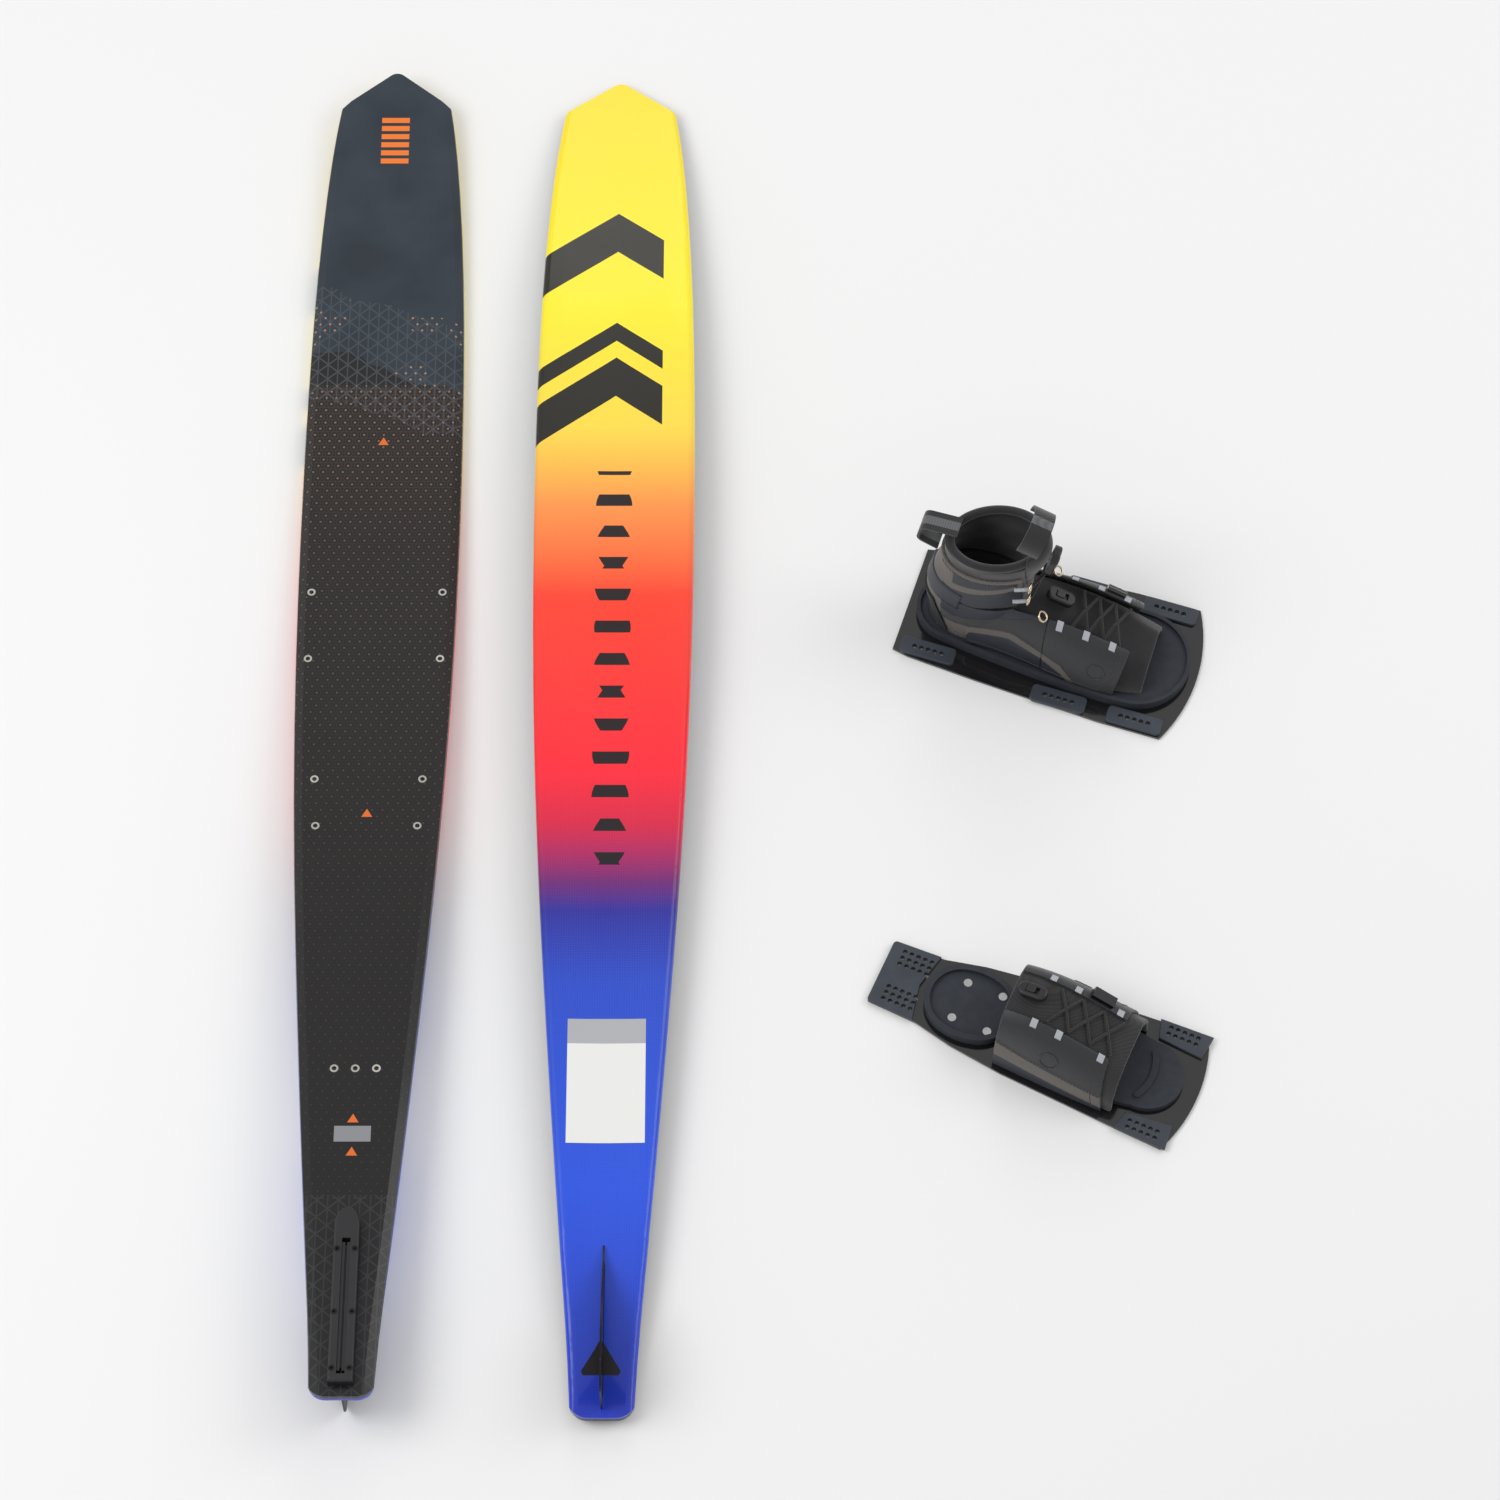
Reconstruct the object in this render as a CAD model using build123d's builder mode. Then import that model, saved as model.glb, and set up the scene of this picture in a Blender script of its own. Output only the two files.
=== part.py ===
"""A slalom water ski pair with its two bindings, laid out as a set on the floor.

One ski lies deck up on its fin and belly, its twin lies base up, and beside them stand the
laced front boot on its plate and the open-heel rear toe binding on its plate.
Millimetres. X runs across the skis, Y along them towards the tips, Z up; the origin is the
centre of the set's footprint on the floor.
"""

import os
from math import radians, tan

from build123d import *

os.makedirs("parts", exist_ok=True)

# ---------------------------------------------------------------- layout of the set
SKI_A_X, SKI_B_X = -410.0, -150.0
SKI_A_PITCH, SKI_A_LIFT = 3.373, 61.48  # tail up, so that fin and belly both touch the floor
SKI_B_PITCH, SKI_B_LIFT = 1.269, 29.14  # upside down, resting on the tip and on the fin block
BOOT_AT, BOOT_YAW = (213.2, 126.0), -18.0
TOE_AT, TOE_YAW = (167.0, -330.0), -24.0

# ---------------------------------------------------------------- ski
SKI_LENGTH = 1651.0
SHOULDER_Y = 1604.0  # where the straight tip edges start
SHOULDER_HALF = 64.0
TUNNEL_DEPTH = 1.2
SKIN = 1.5
# distance from the tail, half width, thickness
STATIONS = [
    (-6, 32.6, 10.6),
    (160, 43.5, 14.2),
    (420, 63.5, 18.5),
    (700, 80.6, 20.5),
    (940, 87.8, 21.0),
    (1160, 88.6, 20.0),
    (1340, 85.2, 17.6),
    (1500, 76.2, 14.2),
    (1604, 64.0, 11.2),
    (1660, 52.0, 9.6),
]
FLAT_FROM, FLAT_TO = 420.0, 850.0
TAIL_KICK, TIP_KICK = 7.0, 56.0
ROW_FRONT, ROW_MIDDLE, ROW_HEEL = 958.0, 872.0, 719.0  # insert rows, from the tail
ROW_TOE, ROW_REAR = 661.0, 370.0
FRONT_SPREAD, HEEL_SPREAD, TOE_SPREAD, REAR_PITCH = 144.0, 116.0, 109.0, 22.0
INSERT_R, INSERT_BORE_R, INSERT_DEPTH = 4.5, 2.5, 11.0

# ---------------------------------------------------------------- fin and its block
FIN_THICK = 2.0
FIN_REAR, FIN_FRONT, FIN_DEPTH = 8.0, 183.0, 62.0
TANG_REAR, TANG_FRONT, TANG_UP = 27.0, 163.0, 10.0
SLOT_HALF = 1.3
FIN_TRAVEL = 3.0
BLOCK_REAR, BLOCK_FRONT, BLOCK_HALF, BLOCK_UP = 12.0, 198.0, 13.0, 12.5
BLOCK_SCREW_ROWS = (26.0, 88.0, 158.0)
BLOCK_SCREW_X = 9.0
WING_PIVOT = (50.0, -34.0)  # y, z in the ski's frame
WING_SCREW_PITCH = 13.0  # the rear screw has room to tilt with the wing

# ---------------------------------------------------------------- boot, in its own frame
PLATE_THICK = 3.0
RAIL_UP, RAIL_WIDTH, RAIL_LENGTH = 4.0, 21.0, 62.0
HOLE_R, HOLE_PITCH, HOLES = 2.8, 7.7, 5
BOOT_ROWS = {"rear": (0.0, HEEL_SPREAD), "mid": (153.0, FRONT_SPREAD), "front": (239.0, FRONT_SPREAD)}
SOLE_Z, SOLE_LIP_Z, SOLE_DISH_Z = PLATE_THICK, 15.0, 11.0
SHELL, LINER = 3.5, 4.5  # thickness of the outer shell and of the neoprene inside it
ANKLE = (42.0, 92.0)  # x, z of the flex axis
FLEX_FORWARD, FLEX_BACK = 12.0, 4.0
THROAT_HALF = 27.0
# x, half width and top of the foot: the outside of the shell, then the outside of the neoprene
SHELL_FOOT = [(37, 40, 97), (85, 42, 103), (125, 47, 101), (170, 53, 90), (218, 52, 74)]
LINER_FOOT = [(37, 36.5, 93), (85, 38.5, 94), (125, 43.5, 86), (170, 49, 66), (205, 48, 48), (238, 42, 36)]
# x, half width and height of the eyestays that the laces cross between
EYESTAY = [(111, 27, 95), (130, 27, 90), (153, 27, 84), (190, 27, 75), (224, 27, 69)]
# z, centre x, half length and half width of the heel and shaft, outside the shell
SHAFT = [
    (11, 37, 54, 35), (50, 39, 56, 38), (84, 41, 60, 40),
    (110, 44, 57, 41), (146, 50, 56, 43), (202, 57, 55, 45),
]
# heights at the back and at the front of the shaft, and how far forward each piece reaches
CUFF_BACK_Z, CUFF_FRONT_Z, CUFF_FRONT = 148.0, 169.0, 92.0
COLLAR_BACK_Z, COLLAR_FRONT_Z, TONGUE_FROM = 168.0, 190.0, 94.0
TONGUE_TOP = 202.0
OVERLAY_FRONT, OVERLAY_RAKE = 218.0, 12.0
LACE_D = 3.0
TUBE_AT = (184.0, 35.0, 81.0)
RING_R, RING_WIRE = 5.6, 1.2
WEB_WIDTH, WEB_THICK = 24.0, 2.0
FRONT_LOOP_AT = (90.0, 203.0)  # x, z of the seam the front loop swings on
FRONT_LOOP_FOOT, FRONT_LOOP_BEND, FRONT_LOOP_CROWN, FRONT_LOOP_HALF = 9, 14, 37, 25
REAR_LOOP_ROUTE = [(-8, 148), (-31, 158), (-27, 180), (12, 182)]  # from the cuff's back over into the collar

# ---------------------------------------------------------------- toe binding, in its own frame
TOE_ROWS = {"rear": (0.0, 2 * REAR_PITCH), "front": (291.0, TOE_SPREAD)}
TOE_ARCH = [(118, 51, 90), (150, 53, 93), (190, 55, 84), (225, 56, 71), (252, 56, 62)]


# ================================================================ ski helpers
def base_z(y):
    """Height of the ski's base above its flat middle."""
    if y > FLAT_TO:
        return TIP_KICK * ((y - FLAT_TO) / (SKI_LENGTH - FLAT_TO)) ** 2.2
    if y < FLAT_FROM:
        return TAIL_KICK * ((FLAT_FROM - y) / FLAT_FROM) ** 2
    return 0.0


def between(y, column):
    """A station's value at y, straight between its neighbours."""
    for low, high in zip(STATIONS, STATIONS[1:]):
        if low[0] <= y <= high[0]:
            share = (y - low[0]) / (high[0] - low[0])
            return low[column] + share * (high[column] - low[column])
    raise ValueError(y)


def deck_z(y):
    return base_z(y) + between(y, 2)


def outer_section(y, w, t, z):
    """Rounded base edge, slanted sidewall, flat deck and a shallow tunnel in the base."""
    with BuildSketch(Plane(origin=(0, y, z), x_dir=(1, 0, 0), z_dir=(0, -1, 0))) as section:
        with BuildLine():
            ThreePointArc((-0.72 * w, 0), (0, TUNNEL_DEPTH), (0.72 * w, 0))
            Line((0.72 * w, 0), (w - 7, 0))
            ThreePointArc((w - 7, 0), (w - 1.9, 0.13 * t), (w, 0.42 * t))
            Line((w, 0.42 * t), (w - 1.2, 0.68 * t))
            Line((w - 1.2, 0.68 * t), (w - 10, t))
            Line((w - 10, t), (10 - w, t))
            Line((10 - w, t), (1.2 - w, 0.68 * t))
            Line((1.2 - w, 0.68 * t), (-w, 0.42 * t))
            ThreePointArc((-w, 0.42 * t), (1.9 - w, 0.13 * t), (7 - w, 0))
            Line((7 - w, 0), (-0.72 * w, 0))
        make_face()
    return section.sketch


def core_section(y, w, t, z):
    low, high = TUNNEL_DEPTH + SKIN, t - SKIN
    with BuildSketch(Plane(origin=(0, y, z), x_dir=(1, 0, 0), z_dir=(0, -1, 0))) as section:
        with BuildLine():
            Polyline(
                (9 - w, low), (w - 9, low), (w - 3, 0.42 * t), (w - 4, 0.62 * t),
                (w - 11.5, high), (11.5 - w, high), (4 - w, 0.62 * t), (3 - w, 0.42 * t),
                close=True,
            )
        make_face()
    return section.sketch


def plan(inset):
    """The ski seen from above: a square tail with rounded corners and a pointed tip."""
    slope = (SKI_LENGTH + 2 - SHOULDER_Y) / SHOULDER_HALF
    with BuildSketch() as outline:
        with BuildLine():
            Polyline(
                (0, inset), (33.4 - inset, inset), (39.6 - inset, 90), (110, 700), (110, 1500),
                (100, SKI_LENGTH + 2 - inset * 1.3 - 100 * slope), (0, SKI_LENGTH + 2 - inset * 1.3),
                (-100, SKI_LENGTH + 2 - inset * 1.3 - 100 * slope), (-110, 1500), (-110, 700),
                (inset - 39.6, 90), (inset - 33.4, inset), close=True,
            )
        make_face()
        tail = outline.vertices().group_by(Axis.Y)[0].filter_by(lambda v: abs(v.X) > 1)
        fillet(tail, 20)
        fillet(outline.vertices().sort_by(Axis.Y)[-1], 12)
    return outline.sketch


with BuildPart() as ski_outer:
    loft([outer_section(*station, base_z(station[0])) for station in STATIONS])
    extrude(plan(0), 200, both=True, mode=Mode.INTERSECT)

with BuildPart() as ski_inner:
    loft([core_section(*station, base_z(station[0])) for station in STATIONS])
    extrude(plan(4), 200, both=True, mode=Mode.INTERSECT)

with BuildPart() as above_parting:
    with BuildSketch(Plane.YZ):
        with BuildLine():
            seam = Spline([(y, base_z(y) + 0.5 * t) for y, _, t in STATIONS])
            Polyline(seam @ 1, (seam @ 1) + (0, 100), (seam @ 0) + (0, 100), seam @ 0)
        make_face()
    extrude(amount=120, both=True)

INSERT_SPOTS = [
    (side * spread / 2, row)
    for row, spread in (
        (ROW_FRONT, FRONT_SPREAD), (ROW_MIDDLE, FRONT_SPREAD), (ROW_HEEL, HEEL_SPREAD), (ROW_TOE, TOE_SPREAD),
    )
    for side in (-1, 1)
]
REAR_SPOTS = [(k * REAR_PITCH, ROW_REAR) for k in (-1, 0, 1)]


def insert_solids(spots, bored=True):
    """Flanged threaded inserts, flush in the deck."""
    with BuildPart() as inserts:
        for x, y in spots:
            with Locations((x, y, deck_z(y) + 0.25)):
                Cylinder(INSERT_R, 2.0, align=(Align.CENTER, Align.CENTER, Align.MAX))
                Cylinder(INSERT_R - 1, INSERT_DEPTH, align=(Align.CENTER, Align.CENTER, Align.MAX))
                if bored:
                    Cylinder(
                        INSERT_BORE_R, INSERT_DEPTH, align=(Align.CENTER, Align.CENTER, Align.MAX),
                        mode=Mode.SUBTRACT,
                    )
    return inserts.part


with BuildPart() as ski_openings:
    add(insert_solids(INSERT_SPOTS + REAR_SPOTS, bored=False))
    with BuildSketch():
        with Locations((0, (TANG_REAR + TANG_FRONT) / 2)):
            Rectangle(2 * SLOT_HALF, TANG_FRONT - TANG_REAR + 2 * FIN_TRAVEL + 3)
    extrude(amount=60, both=True)
    for row in BLOCK_SCREW_ROWS:
        with Locations((BLOCK_SCREW_X, row, deck_z(row)), (-BLOCK_SCREW_X, row, deck_z(row))):
            Cylinder(2.0, 16)

with BuildPart() as deck_laminate:
    add(ski_outer.part)
    add(above_parting.part, mode=Mode.INTERSECT)
    add(ski_inner.part, mode=Mode.SUBTRACT)
    add(ski_openings.part, mode=Mode.SUBTRACT)

with BuildPart() as base_laminate:
    add(ski_outer.part)
    add(above_parting.part, mode=Mode.SUBTRACT)
    add(ski_inner.part, mode=Mode.SUBTRACT)
    add(ski_openings.part, mode=Mode.SUBTRACT)

with BuildPart() as foam_core:
    add(ski_inner.part)
    add(ski_openings.part, mode=Mode.SUBTRACT)

with BuildPart() as boot_inserts:
    add(insert_solids(INSERT_SPOTS))

with BuildPart() as toe_inserts:
    add(insert_solids(REAR_SPOTS))

# ---------------------------------------------------------------- fin, wing and fin block
with BuildPart() as fin:
    with BuildSketch(Plane.YZ):
        with BuildLine():
            lead = Spline(
                (FIN_FRONT, base_z(FIN_FRONT) - 1.2), (140, -19), (100, -45),
                (66, 6 - FIN_DEPTH), (40, 4 - FIN_DEPTH),
            )
            ThreePointArc(lead @ 1, (16, 9 - FIN_DEPTH), (10, 24 - FIN_DEPTH))
            Polyline(
                (10, 24 - FIN_DEPTH), (FIN_REAR, base_z(0) - 1.4), (TANG_REAR, base_z(0) - 1.4),
                (TANG_REAR, deck_z(TANG_REAR) + TANG_UP), (TANG_FRONT, deck_z(TANG_FRONT) + TANG_UP),
                (TANG_FRONT, base_z(FIN_FRONT) - 1.2), lead @ 0,
            )
        make_face()
    extrude(amount=FIN_THICK / 2, both=True)
    for k in range(5):
        with Locations(Location((0, 84 + 13 * k, -12 - 0.6 * k), (0, 90, 0))):
            Cylinder(3.2, 6, mode=Mode.SUBTRACT)
    with Locations(Location((0, *WING_PIVOT), (0, 90, 0))):
        Cylinder(1.6, 6, mode=Mode.SUBTRACT)
    with Locations(Location((0, WING_PIVOT[0] - WING_SCREW_PITCH, WING_PIVOT[1]), (0, 90, 0))):
        Cylinder(2.5, 6, mode=Mode.SUBTRACT)

EAR_GAP = FIN_THICK / 2 + 0.15
with BuildPart() as wing:
    with BuildSketch(Plane.XY.offset(WING_PIVOT[1] - 5)):
        with BuildLine():
            Polyline((EAR_GAP, 66), (7, 55), (20, 33), (19, 29), (EAR_GAP, 29), close=True)
        make_face()
    extrude(amount=1.8)
    fillet(wing.edges().filter_by(Axis.Z).sort_by(Axis.X)[-2:], 2.2)
    with BuildSketch(Plane.YZ.offset(EAR_GAP)):
        with Locations((WING_PIVOT[0] - 6.5, WING_PIVOT[1] - 1)):
            RectangleRounded(22, 8.4, 3)
    extrude(amount=1.6)
    with Locations(
        Location((2, *WING_PIVOT), (0, 90, 0)),
        Location((2, WING_PIVOT[0] - WING_SCREW_PITCH, WING_PIVOT[1]), (0, 90, 0)),
    ):
        Cylinder(1.6, 8, mode=Mode.SUBTRACT)
    mirror(about=Plane.YZ)

with BuildPart() as wing_screws:
    for along in (0, -WING_SCREW_PITCH):
        with Locations(Location((0, WING_PIVOT[0] + along, WING_PIVOT[1]), (0, 90, 0))):
            Cylinder(1.45, 2 * (EAR_GAP + 1.7))
        for side in (-1, 1):
            spot = (side * (EAR_GAP + 2.3), WING_PIVOT[0] + along, WING_PIVOT[1])
            with Locations(Location(spot, (0, 90, 0))):
                Cylinder(2.6, 1.2)

with BuildPart() as fin_block:
    with BuildSketch(Plane.XY.offset(12)):
        with Locations((0, (BLOCK_REAR + BLOCK_FRONT - BLOCK_HALF) / 2)):
            Rectangle(2 * BLOCK_HALF, BLOCK_FRONT - BLOCK_HALF - BLOCK_REAR)
        with Locations((0, BLOCK_FRONT - BLOCK_HALF)):
            Ellipse(BLOCK_HALF, BLOCK_HALF + 8)
    extrude(amount=deck_z(100) + BLOCK_UP - 12)
    fillet(fin_block.faces().sort_by(Axis.Z)[-1].edges(), 2.5)
    with BuildSketch(Plane.XY.offset(deck_z(100) + 3)):
        with Locations((0, (TANG_REAR + TANG_FRONT) / 2)):
            Rectangle(8.6, TANG_FRONT - TANG_REAR + 2 * FIN_TRAVEL + 8)
    extrude(amount=30, mode=Mode.SUBTRACT)
    with BuildSketch():
        with Locations((0, (TANG_REAR + TANG_FRONT) / 2)):
            Rectangle(2 * SLOT_HALF, TANG_FRONT - TANG_REAR + 2 * FIN_TRAVEL + 3)
    extrude(amount=60, mode=Mode.SUBTRACT)
    for row in BLOCK_SCREW_ROWS:
        with Locations((BLOCK_SCREW_X, row, 0), (-BLOCK_SCREW_X, row, 0)):
            Cylinder(2.0, 60, mode=Mode.SUBTRACT)
        head_z = deck_z(100) + BLOCK_UP - 3.2
        with Locations((BLOCK_SCREW_X, row, head_z), (-BLOCK_SCREW_X, row, head_z)):
            Cylinder(3.3, 10, align=(Align.CENTER, Align.CENTER, Align.MIN), mode=Mode.SUBTRACT)
    add(ski_outer.part, mode=Mode.SUBTRACT)

with BuildPart() as fin_clamp_jaws:
    for side in (-1, 1):
        with Locations((side * (FIN_THICK / 2 + 0.06 + 1.55), (TANG_REAR + TANG_FRONT) / 2, deck_z(100) + 3)):
            Box(3.1, TANG_FRONT - TANG_REAR + 6, 7.4, align=(Align.CENTER, Align.CENTER, Align.MIN))

with BuildPart() as fin_block_screws:
    for row in BLOCK_SCREW_ROWS:
        for side in (-1, 1):
            with Locations((side * BLOCK_SCREW_X, row, deck_z(100) + BLOCK_UP - 3.2)):
                Cylinder(3.2, 3.0, align=(Align.CENTER, Align.CENTER, Align.MIN))
                Cylinder(2.0, 15, align=(Align.CENTER, Align.CENTER, Align.MAX))
            with Locations((side * BLOCK_SCREW_X, row, deck_z(100) + BLOCK_UP)):
                with BuildSketch(Plane((side * BLOCK_SCREW_X, row, deck_z(100) + BLOCK_UP - 2.2))):
                    RegularPolygon(1.6, 6)
            extrude(amount=5, mode=Mode.SUBTRACT)


# ================================================================ boot and toe binding helpers
def arch_section(x, half, top, inset, floor):
    """One slice across the foot: upright sides that round over into a low crown."""
    w, h = half - inset, top - inset - floor
    with BuildSketch(Plane(origin=(x, 0, floor), x_dir=(0, 1, 0), z_dir=(1, 0, 0))) as section:
        with BuildLine():
            Spline((w, 0), (0.97 * w, 0.42 * h), (0.72 * w, 0.84 * h), (0, h), tangents=((0, 1), (-1, 0)))
            Spline((0, h), (-0.72 * w, 0.84 * h), (-0.97 * w, 0.42 * h), (-w, 0), tangents=((-1, 0), (0, -1)))
            Line((-w, 0), (w, 0))
        make_face()
    return section.sketch


def shaft_section(z, centre, half_length, half_width, inset):
    with BuildSketch(Plane.XY.offset(z)) as section:
        with Locations((centre, 0)):
            Ellipse(half_length - inset, half_width - inset)
    return section.sketch


def boot_volume(foot, inset, shaft_inset, past_toe=0):
    """A foot and shaft as one solid, inset from the outline of its slices."""
    slices = foot[:-1] + [(foot[-1][0] + past_toe, *foot[-1][1:])]
    with BuildPart() as volume:
        loft([arch_section(*slice_, inset, SOLE_DISH_Z) for slice_ in slices])
        loft([shaft_section(*slice_, shaft_inset) for slice_ in SHAFT])
    return volume.part


def toe_volume(inset):
    """The toe binding's tunnel as one solid, inset from the outside of the overlays."""
    ends = 1 if inset else 0
    rear, front = TOE_ARCH[0], TOE_ARCH[-1]
    slices = [(rear[0] - ends, *rear[1:])] + TOE_ARCH[1:-1] + [(front[0] + ends, *front[1:])]
    with BuildPart() as volume:
        loft([arch_section(*slice_, inset, PLATE_THICK) for slice_ in slices])
    return volume.part


def side_region(points):
    """A prism over the whole width from an outline in x and z."""
    with BuildPart() as region:
        with BuildSketch(Plane.XZ):
            with BuildLine():
                Polyline(*points, close=True)
            make_face()
        extrude(amount=130, both=True)
    return region.part


SHELL_OUTSIDE = boot_volume(SHELL_FOOT, 0, 0)
SHELL_INSIDE = boot_volume(SHELL_FOOT, SHELL, SHELL, 1)
LINER_OUTSIDE = boot_volume(LINER_FOOT, 0, SHELL)
LINER_INSIDE = boot_volume(LINER_FOOT, LINER, SHELL + LINER, 1)
BOOT_TRIM = boot_volume(SHELL_FOOT, -1.2, -1.2)
BOOT_HEEL = boot_volume(SHELL_FOOT, -2.5, -2.5)
TOE_OUTER, TOE_MIDDLE, TOE_INNER = toe_volume(0), toe_volume(SHELL), toe_volume(SHELL + LINER)

# ---------------------------------------------------------------- boot: plate, rails, footbed
RAIL_SPOTS = [(x, side * spread / 2) for x, spread in BOOT_ROWS.values() for side in (-1, 1)]
RAIL_HOLES = [(x + (k - 2) * HOLE_PITCH, y) for x, y in RAIL_SPOTS for k in range(HOLES)]
SOLE_SCREWS = [(x, side * 22) for x in (2, 62, 122, 186) for side in (-1, 1)]
PLATE_SIDE = [(-38, 66), (-20, 70), (60, 76), (200, 84), (271, 84)]
PLATE_NOSE = 290

with BuildPart() as boot_plate:
    with BuildSketch():
        with BuildLine():
            Polyline(*PLATE_SIDE)
            ThreePointArc(PLATE_SIDE[-1], (PLATE_NOSE, 0), (PLATE_SIDE[-1][0], -PLATE_SIDE[-1][1]))
            Polyline(*[(x, -y) for x, y in reversed(PLATE_SIDE)])
            Line((PLATE_SIDE[0][0], -PLATE_SIDE[0][1]), PLATE_SIDE[0])
        make_face()
    extrude(amount=PLATE_THICK)
    with Locations(*RAIL_HOLES):
        Cylinder(HOLE_R, 20, mode=Mode.SUBTRACT)
    with Locations(*SOLE_SCREWS):
        Cylinder(2.6, 20, mode=Mode.SUBTRACT)

with BuildPart() as boot_plate_rails:
    with BuildSketch(Plane.XY.offset(PLATE_THICK)):
        with Locations(*RAIL_SPOTS):
            RectangleRounded(RAIL_LENGTH, RAIL_WIDTH, 5)
    extrude(amount=RAIL_UP)
    fillet(boot_plate_rails.faces().filter_by(Plane.XY).group_by(Axis.Z)[-1].edges(), 1.2)
    with Locations(*RAIL_HOLES):
        Cylinder(HOLE_R, 20, mode=Mode.SUBTRACT)


def pad_outline(tail, sides, nose, inset=0):
    """A foot-shaped outline from above: arcs for the heel and nose, smooth sides between them."""
    with BuildSketch() as outline:
        with BuildLine():
            left = Spline([(x, y - inset) for x, y in sides])
            right = Spline([(x, inset - y) for x, y in reversed(sides)])
            ThreePointArc(left @ 1, (nose - inset, 0), right @ 0)
            ThreePointArc(right @ 1, (tail + inset, 0), left @ 0)
        make_face()
    return outline.sketch


FOOTBED = (-29, [(4, 40), (60, 48), (120, 54.5), (170, 59), (224, 59)], 280)
footbed_outline, footbed_dish = pad_outline(*FOOTBED), pad_outline(*FOOTBED, 4)

with BuildPart() as boot_footbed:
    extrude(Plane.XY.offset(SOLE_Z) * footbed_outline, SOLE_LIP_Z - SOLE_Z)
    extrude(Plane.XY.offset(SOLE_DISH_Z) * footbed_dish, 10, mode=Mode.SUBTRACT)
    with Locations(*[(x, y, SOLE_DISH_Z) for x, y in SOLE_SCREWS]):
        Cylinder(2.6, 20, mode=Mode.SUBTRACT)
        Cylinder(4.8, 4.6, mode=Mode.SUBTRACT)

with BuildPart() as boot_sole_screws:
    with Locations(*[(x, y, SOLE_DISH_Z) for x, y in SOLE_SCREWS]):
        Cylinder(4.6, 2.2, align=(Align.CENTER, Align.CENTER, Align.MAX))
        Cylinder(2.5, SOLE_DISH_Z - 0.2, align=(Align.CENTER, Align.CENTER, Align.MAX))

# ---------------------------------------------------------------- boot: lower shell and liner
LOWER_TOP, APEX_Z = ANKLE[1] - 0.5, ANKLE[1] + 0.5
FORWARD_RISE, BACK_RISE = tan(radians(FLEX_FORWARD + 1.5)), tan(radians(FLEX_BACK + 1.5))
lower_region = side_region([(-60, 0), (320, 0), (320, LOWER_TOP), (-60, LOWER_TOP)])
cuff_region = side_region([
    (ANKLE[0], APEX_Z),
    (ANKLE[0] + 100, APEX_Z + 100 * FORWARD_RISE),
    (ANKLE[0] + 100, 230),
    (ANKLE[0] - 100, 230),
    (ANKLE[0] - 100, APEX_Z + 100 * BACK_RISE),
])
quarter_side = side_region([(-60, 0), (124, 0), (124, 100), (-60, 100)])
overlay_side = side_region([(124, 0), (OVERLAY_FRONT - OVERLAY_RAKE, 0), (OVERLAY_FRONT, 80), (124, 120)])
cuff_side = side_region([
    (-60, 80), (CUFF_FRONT, 80), (CUFF_FRONT, CUFF_FRONT_Z), (-10, CUFF_BACK_Z), (-60, CUFF_BACK_Z),
])
collar_side = side_region([
    (-60, 80), (TONGUE_FROM, 80), (TONGUE_FROM, COLLAR_FRONT_Z), (-5, COLLAR_BACK_Z), (-60, COLLAR_BACK_Z),
])
tongue_side = side_region([(TONGUE_FROM, 80), (170, 80), (170, TONGUE_TOP), (TONGUE_FROM, TONGUE_TOP)])
heel_side = side_region([(-60, 16), (14, 16), (2, 46), (-6, 66), (-60, 66)])
throat = Location((84, 0, 30)) * Box(220, 2 * THROAT_HALF, 120, align=(Align.MIN, Align.CENTER, Align.MIN))


def shell_piece(region, outside=SHELL_OUTSIDE, inside=SHELL_INSIDE):
    """The part of a shell between two volumes that lies in a region."""
    with BuildPart() as piece:
        add(outside)
        add(inside, mode=Mode.SUBTRACT)
        add(region, mode=Mode.INTERSECT)
    return piece.part


with BuildPart() as boot_quarter:
    add(shell_piece(quarter_side))
    add(lower_region, mode=Mode.INTERSECT)
    add(throat, mode=Mode.SUBTRACT)

with BuildPart() as boot_toe_overlay_both:
    add(shell_piece(overlay_side))
    add(lower_region, mode=Mode.INTERSECT)
    add(throat, mode=Mode.SUBTRACT)

with BuildPart() as boot_toe_overlay_left:
    add(boot_toe_overlay_both.part)
    split(bisect_by=Plane.XZ, keep=Keep.BOTTOM)

with BuildPart() as boot_toe_overlay_right:
    add(boot_toe_overlay_both.part)
    split(bisect_by=Plane.XZ, keep=Keep.TOP)

with BuildPart() as boot_liner:
    add(shell_piece(lower_region, LINER_OUTSIDE, LINER_INSIDE))
    add(boot_quarter.part, mode=Mode.SUBTRACT)
    add(boot_toe_overlay_both.part, mode=Mode.SUBTRACT)

with BuildPart() as boot_heel_rubber:
    add(shell_piece(heel_side, BOOT_HEEL, SHELL_OUTSIDE))

# ---------------------------------------------------------------- boot: cuff, collar and tongue
with BuildPart() as boot_cuff:
    add(shell_piece(cuff_region))
    add(cuff_side, mode=Mode.INTERSECT)

with BuildPart() as boot_collar:
    add(shell_piece(cuff_region, LINER_OUTSIDE, LINER_INSIDE))
    add(collar_side, mode=Mode.INTERSECT)

with BuildPart() as boot_tongue:
    add(shell_piece(cuff_region, LINER_OUTSIDE, LINER_INSIDE))
    add(tongue_side, mode=Mode.INTERSECT)


# ---------------------------------------------------------------- laces, rings, locks
def crown(x, slices):
    """Height of a shell's crown at x, straight between its slices."""
    for low, high in zip(slices, slices[1:]):
        if low[0] <= x <= high[0]:
            return low[2] + (x - low[0]) / (high[0] - low[0]) * (high[2] - low[2])
    raise ValueError(x)


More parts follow.
